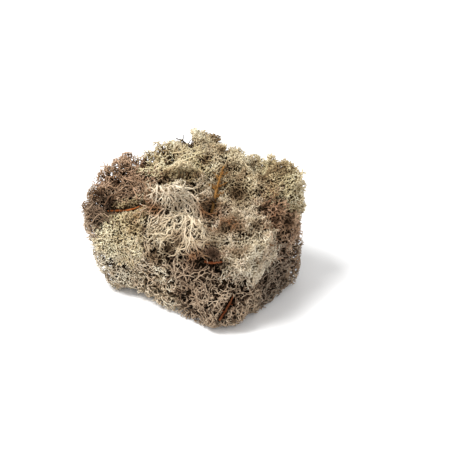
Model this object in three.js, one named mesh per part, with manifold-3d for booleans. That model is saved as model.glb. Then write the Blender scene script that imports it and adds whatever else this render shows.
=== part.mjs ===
// A clump of dried reindeer moss: tufts of branching reindeer lichen packed together into
// one bunch, with the bits of forest litter caught in it. The lower half keeps the form of
// the shallow tray it was pressed in, and the upper half is a loose mound.
//
// Units are millimetres, +Z is up, X runs along the longer side of the pressed half, and
// the origin is on the ground under the middle of the clump.

import * as THREE from 'three';
import { mergeVertices } from 'three/addons/utils/BufferGeometryUtils.js';
import Module from 'manifold-3d';

const wasm = await Module();
wasm.setup();

// ---- Driving dimensions ---------------------------------------------------------------

// The pressed half: its flat sides lean outward from the ground to the rim.
const PRESSED = { halfLength: 68, halfWidth: 49, cornerRadius: 20, lean: 0.125 };
const UNDERCUT = { normal: [-0.83, -0.28, -0.48], reach: 45 };   // hollow under the front left
const PRESSED_DEPTH = 8;      // of the layer of flattened stems on the pressed sides

const CELL_GAP = 0.4;         // between one tuft and the next
const STEM_CLEARANCE = 0.35;  // from a stem's skin to the edge of its tuft's room
const BRANCH_GAP = 0.15;      // between the branches of one tuft
const LITTER_ROOM = 0.7;      // added to a twig's radius for the channel it lies in
const SHORTEST_EDGE = 0.02;   // shorter edges, left by the channels, are closed up

const CORE_DETAIL = 2;        // of the ball that a core is made from
const CORE_RELIEF = [-1.6, 1.6];   // how far a core's skin dips and rises
const OPEN_ROOM = 2.5;        // least way from an open face to its neighbours' walls
const LOWEST_OUTWARD = -0.85; // faces that point further down carry no stem
const PROBE_DISTANCES = [8, 14, 20, 28, 38];   // out from a face, to find other tufts
const PROBE_MARGIN = 1.02;    // how much larger the other tufts count as
const STUB_HEIGHTS = [4.5, 3, 1.6];   // on a face with no stem, tallest first

// How the stems of each kind of tuft grow: the lengths and radii of a stem's branches from
// the first to the last, the angle they fork at, how far apart the stems stand, how much
// they lean the tuft's way, how much they wander, and how much at least their face must
// look the tuft's way.
const HABITS = {
  cushion: { lengths: [4.5, 6.4, 5.4], radii: [1.7, 1.4, 1.15], spread: 0.8, spacing: 6.9,
    lean: 0.15, wander: 0.16, facing: -1 },
  net: { lengths: [4, 7.6, 6.2], radii: [1.5, 1.25, 1.05], spread: 0.95, spacing: 7.6,
    lean: 0.4, wander: 0.34, facing: -1 },
  fan: { lengths: [6.5, 10.5, 9.5], radii: [1.6, 1.35, 1.1], spread: 0.55, spacing: 5.6,
    lean: 0.45, wander: 0.12, facing: -0.15 },
  straggle: { lengths: [5, 8, 6.5], radii: [1.4, 1.15, 1], spread: 0.75, spacing: 7,
    lean: 0.5, wander: 0.36, facing: -1 },
  packed: { lengths: [2.6, 7, 7], radii: [1.4, 1.2, 1.05], spread: 1, spacing: 6.2,
    lean: 0.1, wander: 0.2, facing: -1 },
};
const LAST_BRANCH = 2;
const LENGTH_CHANGE = [0.85, 1.2];   // a branch's share of its habit's length
const LEAST_LENGTH = 0.5;     // share of its length that a branch bent back must keep
const LEAST_UPRIGHT = [0.72, 0.6, 0.6];   // cosine of a branch's slant on its triangle
const LEAST_APART = 0.65;     // cosine of its turn from its own side of the fork
const FORK_SHARE = 0.4;       // of a branch, near its fork, where it may touch the others
const CROWN_HEIGHT = 0.8;     // raised middle of a fork, in branch radii
const TIP_RADIUS = 0.35;      // a tip's own, for keeping others clear of it

const COLOURS = {
  cream: 0xcdbf9f, straw: 0xbcab80, beige: 0xb3a27d, pinkBrown: 0x947660, greyBeige: 0xa09280,
  darkBrown: 0x705a47, peat: 0x564639, orangeBrown: 0x8a5a2c, blackBrown: 0x3a2f27,
  redBrown: 0x6e3f28,
};

// Every tuft: its middle, the half sizes of its dense core, the way its stems lean, how
// many stems it has at most, its habit and its colour.
const TUFTS = [
  { name: 'tuft_crest', at: [-19, 40, 71], core: [15, 13, 13], lean: [0, 0, 1], stems: 19,
    habit: 'cushion', colour: 'beige' },
  { name: 'tuft_crest_right', at: [10, 37, 67], core: [14, 12, 12], lean: [0.3, 0.2, 1],
    stems: 15, habit: 'cushion', colour: 'beige' },
  { name: 'tuft_ridge_pale', at: [-40, 26, 62], core: [16, 14, 12], lean: [0.6, -0.1, 0.5],
    stems: 16, habit: 'net', colour: 'straw' },
  { name: 'tuft_ridge_middle', at: [-14, 13, 63], core: [14, 12, 11], lean: [0.4, -0.7, 0.4],
    stems: 15, habit: 'cushion', colour: 'straw' },
  { name: 'tuft_brown_upper', at: [-59, 8, 53], core: [15, 15, 12], lean: [-0.4, -0.4, 0.6],
    stems: 18, habit: 'net', colour: 'pinkBrown' },
  { name: 'tuft_brown_lower', at: [-58, -14, 53], core: [15, 14, 13], lean: [-0.3, -0.6, 0.3],
    stems: 18, habit: 'net', colour: 'pinkBrown' },
  { name: 'tuft_dark_left', at: [-54, -37, 45], core: [12, 12, 11], lean: [-0.6, -0.3, 0.7],
    stems: 15, habit: 'straggle', colour: 'darkBrown' },
  { name: 'tuft_front_yellow', at: [-27, -34, 43], core: [19, 14, 10], lean: [-0.3, -0.6, 0.5],
    stems: 20, habit: 'cushion', colour: 'straw' },
  { name: 'tuft_fan', at: [-8, -6, 60], core: [16, 15, 11], lean: [0.5, -0.7, -0.2],
    stems: 18, habit: 'fan', colour: 'cream' },
  { name: 'tuft_fan_fringe', at: [13, -26, 49], core: [17, 15, 10], lean: [0.5, -0.7, -0.4],
    stems: 18, habit: 'fan', colour: 'cream' },
  { name: 'tuft_front_right', at: [55, -14, 46], core: [17, 22, 9], lean: [0.3, -0.3, 0.8],
    stems: 22, habit: 'cushion', colour: 'cream' },
  { name: 'tuft_right_middle', at: [37, 9, 51], core: [14, 13, 11], lean: [0.2, -0.3, 0.9],
    stems: 15, habit: 'cushion', colour: 'cream' },
  { name: 'tuft_right_straw', at: [52, 44, 66], core: [20, 15, 12], lean: [0.6, 0.2, 0.6],
    stems: 18, habit: 'cushion', colour: 'straw' },
  { name: 'tuft_back_beige', at: [30, 27, 64], core: [16, 14, 12], lean: [0.2, -0.4, 0.8],
    stems: 15, habit: 'cushion', colour: 'beige' },
  { name: 'tuft_right_brown', at: [61, 23, 50], core: [14, 17, 13], lean: [0.7, -0.4, 0.3],
    stems: 15, habit: 'net', colour: 'pinkBrown' },
  { name: 'tuft_left_valley', at: [-31, -10, 52], core: [13, 12, 11], lean: [0.3, -0.5, 0.6],
    stems: 9, habit: 'net', colour: 'pinkBrown' },
  { name: 'tuft_valley', at: [8, 14, 57], core: [13, 12, 10], lean: [0, -0.4, 0.8],
    stems: 10, habit: 'cushion', colour: 'greyBeige' },
  { name: 'tuft_hollow', at: [25, -7, 40], core: [13, 13, 10], lean: [0.3, -0.4, 0.8],
    stems: 10, habit: 'net', colour: 'darkBrown' },
  { name: 'tuft_front_dark', at: [39, -41, 39], core: [11, 10, 8], lean: [0.2, -0.6, 0.6],
    stems: 9, habit: 'straggle', colour: 'darkBrown' },
  { name: 'tuft_back_left', at: [-41, 38, 42], core: [18, 15, 17], lean: [-0.4, 0.7, 0.4],
    stems: 14, habit: 'cushion', colour: 'beige' },
  { name: 'tuft_back_middle', at: [-5, 40, 42], core: [19, 14, 17], lean: [0, 0.9, 0.2],
    stems: 13, habit: 'net', colour: 'pinkBrown' },
  { name: 'tuft_back_right', at: [29, 40, 40], core: [18, 14, 16], lean: [0.2, 0.8, 0.3],
    stems: 13, habit: 'cushion', colour: 'greyBeige' },
  { name: 'tuft_low_front_left', at: [-32, -29, 19], core: [23, 22, 23], lean: [0, -0.3, 0.9],
    stems: 16, habit: 'packed', colour: 'greyBeige' },
  { name: 'tuft_low_front', at: [4, -34, 17], core: [21, 21, 23], lean: [-0.2, -0.3, 0.9],
    stems: 16, habit: 'packed', colour: 'cream' },
  { name: 'tuft_low_corner', at: [43, -28, 15], core: [28, 25, 25], lean: [0.3, -0.3, 0.7],
    stems: 19, habit: 'packed', colour: 'darkBrown' },
  { name: 'tuft_low_right', at: [51, 7, 18], core: [24, 22, 26], lean: [0.2, 0.3, 0.8],
    stems: 16, habit: 'packed', colour: 'peat' },
  { name: 'tuft_low_back_right', at: [46, 37, 19], core: [27, 21, 26], lean: [0.3, 0.3, 0.8],
    stems: 16, habit: 'packed', colour: 'darkBrown' },
  { name: 'tuft_low_back', at: [-5, 36, 17], core: [21, 21, 20], lean: [0, 0.3, 0.8],
    stems: 11, habit: 'packed', colour: 'greyBeige' },
  { name: 'tuft_low_back_left', at: [-42, 29, 19], core: [24, 23, 21], lean: [-0.3, 0.3, 0.8],
    stems: 13, habit: 'packed', colour: 'darkBrown' },
  { name: 'tuft_low_left', at: [-47, -7, 25], core: [22, 22, 21], lean: [-0.5, 0, 0.7],
    stems: 13, habit: 'packed', colour: 'greyBeige' },
  { name: 'tuft_low_middle', at: [3, 1, 18], core: [27, 23, 22], lean: [0, 0, 1],
    stems: 0, habit: 'packed', colour: 'peat' },
];
const FIRST_SEED = 7001;      // the first tuft's, and each next tuft has the next number

// The litter: twigs and needles, each along a few points from its thick end to its tip.
// Side twigs leave a sprig in pairs, leaning toward its tip.
const LITTER = [
  { name: 'litter_sprig', radius: 1, colour: 'orangeBrown', sideTwigs: 4, sideLength: 9,
    path: [[20, -2, 60], [18, 4, 67], [16, 10, 73], [14, 17, 79], [12, 24, 84]] },
  { name: 'litter_needle', radius: 0.9, colour: 'orangeBrown',
    path: [[-46, -36, 56], [-40, -33, 57], [-33, -31, 58.5], [-27, -27, 60.5], [-23, -23, 63]] },
  { name: 'litter_dark_twig', radius: 0.75, colour: 'blackBrown', sideTwigs: 1, sideLength: 7,
    path: [[-19, 35, 84], [-27, 36, 84.5], [-35, 38, 86], [-42, 39, 85.5]] },
  { name: 'litter_red_stem', radius: 1, colour: 'redBrown',
    path: [[56, -44, 7], [58, -41, 12], [60, -38, 18], [62, -34, 25]] },
  { name: 'litter_brown_stem', radius: 1, colour: 'redBrown',
    path: [[43, -42, 48], [49, -41, 48.5], [55, -38, 50]] },
];
const TWIG_STEP = 5;          // length of a twig's straight steps
const TWIG_TAPER = 0.35;      // share of its radius that a twig loses before its tip
const SIDE_TWIG_ANGLE = 0.9;  // between a side twig and its sprig
const SIDE_TWIG_RADIUS = 0.7; // of its sprig's
const SIDE_TWIG_TAPER = 0.4;  // how much shorter the last side twigs are

// ---- Small helpers --------------------------------------------------------------------

const vec = (list) => new THREE.Vector3(...list);

// A seeded random number source, so that the clump is the same every time.
function seeded(seed) {
  let state = seed >>> 0;
  return () => {
    state = (state + 0x6d2b79f5) >>> 0;
    let t = Math.imul(state ^ (state >>> 15), 1 | state);
    t = (t + Math.imul(t ^ (t >>> 7), 61 | t)) ^ t;
    return ((t ^ (t >>> 14)) >>> 0) / 4294967296;
  };
}

const between = (random, low, high) => low + (high - low) * random();

const anyDirection = (random) =>
  vec([between(random, -1, 1), between(random, -1, 1), between(random, -1, 1)]);

// An axis that isn't along the direction given.
const acrossFrom = (direction) =>
  (Math.abs(direction.z) > 0.9 ? vec([1, 0, 0]) : vec([0, 0, 1]));

// A triangle geometry with its shared corners merged.
function welded(geometry) {
  const bare = geometry.clone();
  bare.deleteAttribute('normal');
  bare.deleteAttribute('uv');
  return mergeVertices(bare, 1e-4);
}

// A closed solid from a triangle geometry, and back again.
function toSolid(geometry) {
  const merged = welded(geometry);
  return new wasm.Manifold(new wasm.Mesh({
    numProp: 3,
    vertProperties: new Float32Array(merged.attributes.position.array),
    triVerts: new Uint32Array(merged.index.array),
  }));
}

function toGeometry(solid) {
  const mesh = solid.getMesh();
  const geometry = new THREE.BufferGeometry();
  geometry.setAttribute('position', new THREE.BufferAttribute(mesh.vertProperties.slice(), 3));
  geometry.setIndex(new THREE.BufferAttribute(mesh.triVerts.slice(), 1));
  const closed = closeShortEdges(geometry);
  closed.computeVertexNormals();
  return closed;
}

// Draws the ends of the shortest edges together, and drops the triangles that this closes.
function closeShortEdges(geometry) {
  const { position } = geometry.attributes;
  const index = Array.from(geometry.index.array);
  const moved = Array.from({ length: position.count }, (_, i) => i);
  const target = (i) => (moved[i] === i ? i : target(moved[i]));
  const pointAt = (i) => new THREE.Vector3().fromBufferAttribute(position, i);
  for (let i = 0; i < index.length; i += 1) {
    const next = i % 3 === 2 ? i - 2 : i + 1;
    const from = target(index[i]);
    const to = target(index[next]);
    if (from !== to && pointAt(from).distanceTo(pointAt(to)) < SHORTEST_EDGE) moved[to] = from;
  }
  const kept = [];
  for (let i = 0; i < index.length; i += 3) {
    const corners = index.slice(i, i + 3).map(target);
    if (new Set(corners).size === 3) kept.push(...corners);
  }
  const closed = new THREE.BufferGeometry();
  closed.setAttribute('position', position);
  closed.setIndex(kept);
  return mergeVertices(closed, 1e-6);
}

const largestPiece = (solid) =>
  solid.decompose().reduce((best, piece) => (piece.volume() > best.volume() ? piece : best));

// ---- The room each tuft has -----------------------------------------------------------

// A wall is a plane: points whose normal . point is above its reach are outside.
const wall = (normal, reach) => ({ normal: normal.clone().normalize(), reach });

const ground = wall(vec([0, 0, -1]), 0);

// The flat sides that the clump was pressed against, moved in by the inset.
function pressedWalls(inset) {
  const { halfLength, halfWidth, cornerRadius, lean } = PRESSED;
  const cornerReach = cornerRadius
    + (halfLength + halfWidth - 2 * cornerRadius) * Math.SQRT1_2;
  const walls = [wall(vec(UNDERCUT.normal), UNDERCUT.reach - inset)];
  const addWall = (x, y, reach) => {
    const normal = vec([x, y, -lean]);
    walls.push(wall(normal, reach / normal.length() - inset));
  };
  for (const side of [-1, 1]) {
    addWall(side, 0, halfLength);
    addWall(0, side, halfWidth);
    for (const other of [-1, 1]) {
      addWall(side * Math.SQRT1_2, other * Math.SQRT1_2, cornerReach);
    }
  }
  return walls;
}

const meanSize = ({ core }) => (core[0] + core[1] + core[2]) / 3;

// The walls that keep a tuft clear of its neighbours: each runs between two middles, nearer
// the smaller tuft.
function wallsBetween(tuft) {
  const middle = vec(tuft.at);
  return TUFTS.filter((other) => other !== tuft).map((other) => {
    const across = vec(other.at).sub(middle);
    const span = across.length();
    const share = (span ** 2 + meanSize(tuft) ** 2 - meanSize(other) ** 2) / (2 * span);
    const normal = across.normalize();
    return wall(normal, normal.dot(middle) + share - CELL_GAP / 2);
  });
}

// How far the way from a point along a direction goes before it meets a wall.
const wayTo = (walls, point, direction) => walls.reduce((way, { normal, reach }) => {
  const approach = normal.dot(direction);
  return approach > 0 ? Math.min(way, (reach - normal.dot(point)) / approach) : way;
}, Infinity);

// Moves a point back inside its walls, so that it keeps the clearance asked for.
function bentClear(point, walls, clearance) {
  const passes = 6;
  const moved = point.clone();
  for (let pass = 0; pass < passes; pass += 1) {
    for (const { normal, reach } of walls) {
      const over = normal.dot(moved) + clearance - reach;
      if (over > 0) moved.addScaledVector(normal, -over);
    }
  }
  return moved;
}

// ---- Skins ----------------------------------------------------------------------------

// A closed skin of triangles that branches grow out of: each of them stands on a triangle,
// and where it forks, its end triangle gets a raised middle and becomes three.
class Skin {
  constructor() {
    this.points = [];
    this.faces = [];
  }

  addPoint(point) {
    this.points.push(point.x, point.y, point.z);
    return this.points.length / 3 - 1;
  }

  // The middle of the points with these numbers.
  middleOf(numbers) {
    return numbers.reduce((sum, number) =>
      sum.add(new THREE.Vector3().fromArray(this.points, number * 3)), vec([0, 0, 0]))
      .divideScalar(numbers.length);
  }

  // The way that the triangle of these three points faces.
  normalOf(corners) {
    const [a, b, c] = corners.map((number) => this.middleOf([number]));
    return b.sub(a).cross(c.sub(a)).normalize();
  }

  // The furthest that these points are from their middle.
  widthOf(numbers) {
    const middle = this.middleOf(numbers);
    return Math.max(...numbers.map((number) => this.middleOf([number]).distanceTo(middle)));
  }

  // Three points round a branch, the first of them on the side that start points to.
  addRing(centre, direction, radius, start) {
    const side = start.clone().addScaledVector(direction, -start.dot(direction)).normalize();
    const cross = new THREE.Vector3().crossVectors(direction, side);
    return [0, 1, 2].map((corner) => {
      const angle = (corner * 2 * Math.PI) / 3;
      return this.addPoint(centre.clone()
        .addScaledVector(side, radius * Math.cos(angle))
        .addScaledVector(cross, radius * Math.sin(angle)));
    });
  }

  closeRoot(ring) {
    this.faces.push(ring[0], ring[2], ring[1]);
  }

  joinRings(lower, upper) {
    for (let corner = 0; corner < 3; corner += 1) {
      const next = (corner + 1) % 3;
      this.faces.push(lower[corner], lower[next], upper[next]);
      this.faces.push(lower[corner], upper[next], upper[corner]);
    }
  }

  addTip(ring, tip) {
    const top = this.addPoint(tip);
    for (let corner = 0; corner < 3; corner += 1) {
      this.faces.push(ring[corner], ring[(corner + 1) % 3], top);
    }
  }

  // A straight branch on a base triangle, as far as its end triangle.
  addBranch(base, to, radius) {
    const middle = this.middleOf(base);
    const along = to.clone().sub(middle).normalize();
    const ring = this.addRing(to, along, radius, this.middleOf([base[0]]).sub(middle));
    this.joinRings(base, ring);
    return { ring, along };
  }

  toGeometry() {
    const geometry = new THREE.BufferGeometry();
    geometry.setAttribute('position', new THREE.Float32BufferAttribute(this.points, 3));
    geometry.setIndex(this.faces);
    return geometry;
  }
}

// ---- Cores ----------------------------------------------------------------------------

// How far a tuft's core reaches from its middle in a direction, within its walls.
function coreReach(tuft, walls, unit, relief) {
  const free = 1 / unit.clone().divide(vec(tuft.core)).length() + relief;
  return Math.min(free, wayTo(walls, vec(tuft.at), unit));
}

// Adds a lumpy ball to the skin, flat where it meets its walls, and gives its faces.
function addCore(skin, tuft, walls, random) {
  const ball = welded(new THREE.IcosahedronGeometry(1, CORE_DETAIL));
  const { position } = ball.attributes;
  for (let i = 0; i < position.count; i += 1) {
    const unit = new THREE.Vector3().fromBufferAttribute(position, i).normalize();
    const reach = coreReach(tuft, walls, unit, between(random, ...CORE_RELIEF));
    skin.addPoint(vec(tuft.at).addScaledVector(unit, reach));
  }
  const faces = [];
  for (let i = 0; i < ball.index.count; i += 3) {
    const corners = [0, 1, 2].map((corner) => ball.index.getX(i + corner));
    const middle = skin.middleOf(corners);
    faces.push({ corners, middle, outward: middle.clone().sub(vec(tuft.at)).normalize() });
  }
  return faces;
}

// Whether a face looks out of the clump: away from its neighbours' walls and from the tufts
// in front of it.
function isOpen({ middle, outward }, tuft, neighbours) {
  const isFree = neighbours.every(({ normal, reach }) => reach - normal.dot(middle) > OPEN_ROOM);
  return isFree && outward.z > LOWEST_OUTWARD && PROBE_DISTANCES.every((distance) => {
    const probe = middle.clone().addScaledVector(outward, distance);
    return TUFTS.every((other) => other === tuft
      || probe.clone().sub(vec(other.at)).divide(vec(other.core)).length() > PROBE_MARGIN);
  });
}

// ---- Stems ----------------------------------------------------------------------------

// The least gap from steps along one tapered branch to another.
function gapAlong(a, b) {
  const steps = 6;
  const line = new THREE.Line3(b.from, b.to);
  const onA = new THREE.Vector3();
  const onB = new THREE.Vector3();
  let least = Infinity;
  for (let step = 0; step <= steps; step += 1) {
    const share = step / steps;
    onA.lerpVectors(a.from, a.to, share);
    const other = line.closestPointToPointParameter(onA, true);
    line.at(other, onB);
    const radii = THREE.MathUtils.lerp(...a.radii, share) + THREE.MathUtils.lerp(...b.radii, other);
    least = Math.min(least, onA.distanceTo(onB) - radii);
  }
  return least;
}

const gapBetween = (a, b) => Math.min(gapAlong(a, b), gapAlong(b, a));

const outerPart = ({ from, to, radii }) =>
  ({ from: from.clone().lerp(to, FORK_SHARE), to, radii });

// Whether a branch is clear of all the others laid down in its tuft, apart from the one it
// grows from. The ones beside it at the same fork only have to part from it.
const isClear = (branch, laid) => laid.every((other) => other.endFork === branch.fork
  || (other.fork === branch.fork
    ? gapBetween(outerPart(branch), outerPart(other)) > 0
    : gapBetween(branch, other) > BRANCH_GAP));

// Whether a branch keeps out of its tuft's core, from a little way along it.
function isOutside({ from, to, radii }, room) {
  return [FORK_SHARE, (FORK_SHARE + 1) / 2, 1].every((share) => {
    const arm = from.clone().lerp(to, share).sub(vec(room.tuft.at));
    const reach = coreReach(room.tuft, room.coreWalls, arm.clone().normalize(), CORE_RELIEF[1]);
    return arm.length() > reach + radii[1];
  });
}

// Raises a stem's first branch straight out of a face of the core. It starts as wide as the
// face, and stays in the cone from the core's middle through the face.
function growTrunk(room, { corners, middle, outward }) {
  const { skin, habit, random } = room;
  const radius = habit.radii[0];
  const edge = radius + STEM_CLEARANCE;
  const length = Math.min(habit.lengths[0] * between(random, ...LENGTH_CHANGE),
    wayTo(room.walls.map(({ normal, reach }) => wall(normal, reach - edge)), middle, outward));
  const isUpright = outward.dot(skin.normalOf(corners)) > LEAST_UPRIGHT[0];
  if (!isUpright || length < LEAST_LENGTH * habit.lengths[0]) return [];
  const to = middle.clone().addScaledVector(outward, length);
  const { ring, along } = skin.addBranch(corners, to, radius);
  room.forks += 1;
  room.laid.push({ from: middle, to, radii: [skin.widthOf(corners), radius], endFork: room.forks });
  return forkOff(room, ring, to, along, radius, 1);
}

// Raises the middle of a branch's end triangle, and gives the three buds round it.
function forkOff(room, ring, at, along, radius, level) {
  const { skin, habit } = room;
  const crown = skin.addPoint(at.clone().addScaledVector(along, radius * CROWN_HEIGHT));
  return [0, 1, 2].map((corner) => {
    const pair = [ring[corner], ring[(corner + 1) % 3]];
    const side = skin.middleOf(pair).sub(at).normalize();
    const heading = along.clone().multiplyScalar(Math.cos(habit.spread))
      .addScaledVector(side, Math.sin(habit.spread));
    return { base: [...pair, crown], along, side, heading, level, fork: room.forks };
  });
}

// Grows a branch from a bud and gives the buds on its end. A branch that would leave the
// tuft's room is bent back into it, and one that would bend too far or touch another is
// left off.
function growBranch(room, bud) {
  const { base, heading, level, fork } = bud;
  const { skin, habit, random } = room;
  const from = skin.middleOf(base);
  const length = habit.lengths[level] * between(random, ...LENGTH_CHANGE);
  const radius = habit.radii[level];
  const aim = heading.clone().addScaledVector(anyDirection(random), habit.wander)
    .addScaledVector(room.lean, habit.lean).normalize();
  const to = bentClear(from.clone().addScaledVector(aim, length), room.walls,
    radius + STEM_CLEARANCE);
  const isLong = to.distanceTo(from) > LEAST_LENGTH * length;
  const way = to.clone().sub(from).normalize();
  const sideways = way.clone().projectOnPlane(bud.along).length();
  const isStraight = way.dot(skin.normalOf(base)) > LEAST_UPRIGHT[level]
    && way.dot(bud.side) > LEAST_APART * sideways;
  const radii = [radius, level === LAST_BRANCH ? TIP_RADIUS : radius];
  room.forks += 1;
  const branch = { from, to, radii, fork, endFork: room.forks };
  if (!isLong || !isStraight || !isOutside(branch, room) || !isClear(branch, room.laid)) {
    skin.faces.push(...base);
    return [];
  }
  room.laid.push(branch);
  if (level === LAST_BRANCH) {
    skin.addTip(base, to);
    return [];
  }
  const { ring, along } = skin.addBranch(base, to, radius);
  return forkOff(room, ring, to, along, radius, level + 1);
}

// Raises a stub on a face of the core that carries no stem, as tall as there is room for.
function growStub(room, { corners, middle, outward }) {
  const branches = room.laid.filter(({ fork }) => fork !== undefined);
  const tallest = wayTo(room.walls, middle, outward) - STEM_CLEARANCE - TIP_RADIUS;
  const stubs = STUB_HEIGHTS.filter((height) => height < tallest).map((height) => ({
    from: middle,
    to: middle.clone().addScaledVector(outward, height),
    radii: [room.skin.widthOf(corners), TIP_RADIUS],
  }));
  const stub = stubs.find((candidate) => isClear(candidate, branches));
  if (stub) room.skin.addTip(corners, stub.to);
  else room.skin.faces.push(...corners);
}

// ---- Tufts ----------------------------------------------------------------------------

// Picks the faces that carry stems: open ones in a random order, well apart.
function pickStemFaces(faces, tuft, random) {
  const { spacing, facing } = HABITS[tuft.habit];
  const lean = vec(tuft.lean).normalize();
  const ordered = faces.filter(({ outward }) => outward.dot(lean) > facing)
    .map((face) => ({ face, order: random() })).sort((a, b) => a.order - b.order);
  const picked = [];
  for (const { face } of ordered) {
    const isCrowded = picked.some((other) => other.middle.distanceTo(face.middle) < spacing);
    if (!isCrowded && picked.length < tuft.stems) picked.push(face);
  }
  return picked;
}

// Grows a tuft's stems out of its core, level by level, and cuts the channels of the litter.
function buildTuft(tuft, seed, channels) {
  const random = seeded(seed);
  const neighbours = wallsBetween(tuft);
  const room = {
    tuft,
    random,
    habit: HABITS[tuft.habit],
    lean: vec(tuft.lean).normalize(),
    walls: [ground, ...pressedWalls(0), ...neighbours],
    coreWalls: [ground, ...pressedWalls(PRESSED_DEPTH), ...neighbours],
    skin: new Skin(),
    laid: [],
    forks: 0,
  };
  const faces = addCore(room.skin, tuft, room.coreWalls, random);
  const open = faces.filter((face) => isOpen(face, tuft, neighbours));
  const picked = pickStemFaces(open, tuft, random);
  const bare = new Set(faces);
  let buds = [];
  for (const face of picked) {
    const grown = growTrunk(room, face);
    if (grown.length > 0) bare.delete(face);
    buds.push(...grown);
  }
  while (buds.length > 0) buds = buds.flatMap((bud) => growBranch(room, bud));
  for (const face of bare) {
    if (open.includes(face)) growStub(room, face);
    else room.skin.faces.push(...face.corners);
  }
  const solid = toSolid(room.skin.toGeometry());
  return largestPiece(channels.reduce((rest, channel) => rest.subtract(channel), solid));
}

// ---- Litter ---------------------------------------------------------------------------

// A three-sided twig along a curve, tapering to a point.
function twigGeometry(curve, radius) {
  const steps = Math.max(1, Math.round(curve.getLength() / TWIG_STEP));
  const skin = new Skin();
  const side = acrossFrom(curve.getTangent(0));
  const addRing = (share) => skin.addRing(curve.getPointAt(share), curve.getTangentAt(share),
    radius * (1 - TWIG_TAPER * share), side);
  let ring = addRing(0);
  skin.closeRoot(ring);
  for (let step = 1; step < steps; step += 1) {
    const next = addRing(step / steps);
    skin.joinRings(ring, next);
    ring = next;
  }
  skin.addTip(ring, curve.getPointAt(1));
  return skin.toGeometry();
}

// A twig and its pairs of side twigs, or with extra radius the channel that it lies in.
function twigSolid({ path, radius, sideTwigs = 0, sideLength = 0 }, extra) {
  const curve = new THREE.CatmullRomCurve3(path.map(vec));
  let solid = toSolid(twigGeometry(curve, radius + extra));
  for (let pair = 0; pair < sideTwigs; pair += 1) {
    const share = (pair + 0.7) / (sideTwigs + 0.5);
    const along = curve.getTangentAt(share);
    const across = new THREE.Vector3().crossVectors(along, vec([0, 0, 1])).normalize();
    for (const side of [-1, 1]) {
      const heading = along.clone().multiplyScalar(Math.cos(SIDE_TWIG_ANGLE))
        .addScaledVector(across, side * Math.sin(SIDE_TWIG_ANGLE));
      const from = curve.getPointAt(share);
      const to = from.clone()
        .addScaledVector(heading, sideLength * (1 - SIDE_TWIG_TAPER * share));
      const sideTwig = twigGeometry(new THREE.LineCurve3(from, to),
        radius * SIDE_TWIG_RADIUS + extra);
      solid = solid.add(toSolid(sideTwig));
    }
  }
  return solid;
}

// ---- The clump ------------------------------------------------------------------------

const group = new THREE.Group();

function addPiece(name, solid, colour) {
  const material = new THREE.MeshStandardMaterial({
    color: COLOURS[colour], roughness: 0.95, metalness: 0,
  });
  const mesh = new THREE.Mesh(toGeometry(solid), material);
  mesh.name = name;
  group.add(mesh);
}

const channels = LITTER.map((twig) => twigSolid(twig, LITTER_ROOM));
TUFTS.forEach((tuft, index) =>
  addPiece(tuft.name, buildTuft(tuft, FIRST_SEED + index, channels), tuft.colour));
LITTER.forEach((twig) => addPiece(twig.name, twigSolid(twig, 0), twig.colour));

// Stands the clump on the ground, with the origin under the middle of it.
const box = new THREE.Box3().setFromObject(group);
const centre = box.getCenter(vec([0, 0, 0]));
group.position.set(-centre.x, -centre.y, -box.min.z);
group.updateMatrixWorld(true);

export default group;
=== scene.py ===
"""Looks of a clump of dried reindeer lichen.

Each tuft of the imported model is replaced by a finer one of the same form: a rough dark core, forked
crowns that end where the clump's own outline is, and stems that lie over its surface. The litter
that is caught in it, such as a sprig and a few stems, is drawn with its own bark and needles.
Lengths are in millimetres until a mesh is made, in the model's own frame, with +Z up. Angles are in
radians where a comment doesn't say degrees.
"""
import math
from types import SimpleNamespace

import bmesh
import bpy
import numpy as np
from mathutils import Matrix, Vector, noise
from mathutils.bvhtree import BVHTree


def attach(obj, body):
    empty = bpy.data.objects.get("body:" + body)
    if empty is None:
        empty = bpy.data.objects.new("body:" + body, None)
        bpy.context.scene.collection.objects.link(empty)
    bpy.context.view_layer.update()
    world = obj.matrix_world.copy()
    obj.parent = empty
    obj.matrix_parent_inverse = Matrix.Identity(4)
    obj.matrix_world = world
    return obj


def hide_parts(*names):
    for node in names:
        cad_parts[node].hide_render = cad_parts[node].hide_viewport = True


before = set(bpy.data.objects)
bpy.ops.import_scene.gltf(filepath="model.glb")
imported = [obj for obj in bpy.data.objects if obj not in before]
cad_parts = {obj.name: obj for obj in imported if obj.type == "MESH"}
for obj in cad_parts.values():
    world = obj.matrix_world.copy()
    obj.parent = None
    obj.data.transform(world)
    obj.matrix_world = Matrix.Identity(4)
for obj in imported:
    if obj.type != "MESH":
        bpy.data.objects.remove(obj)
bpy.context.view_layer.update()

MM = 0.001
FIRST_SEED = 4100

# ---- camera

IMAGE_SIDE = 460  # pixels
MM_PER_PIXEL = 0.72  # at the anchor
CAMERA_AZIMUTH = 35  # degrees
CAMERA_ELEVATION = 29  # degrees
CAMERA_DISTANCE = 810
ANCHOR = (0.5, -1.3, 31)  # the point of the clump that the frame is set by
ANCHOR_PIXEL = (191, 240)  # where it shows
SENSOR_WIDTH = 36


def camera_axes():
    """Unit vectors to the right, up and back, toward the camera."""
    azimuth, elevation = math.radians(CAMERA_AZIMUTH), math.radians(CAMERA_ELEVATION)
    level = math.cos(elevation)
    back = Vector((math.sin(azimuth) * level, -math.cos(azimuth) * level, math.sin(elevation)))
    right = Vector((0, 0, 1)).cross(back).normalized()
    return right, back.cross(right), back


def camera_spot(right, up, back):
    """Where the camera stands, so that the anchor shows at its pixel."""
    across, along = IMAGE_SIDE / 2 - ANCHOR_PIXEL[0], ANCHOR_PIXEL[1] - IMAGE_SIDE / 2
    aside = right * across * MM_PER_PIXEL
    return Vector(ANCHOR) + back * CAMERA_DISTANCE + aside + up * along * MM_PER_PIXEL


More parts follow.
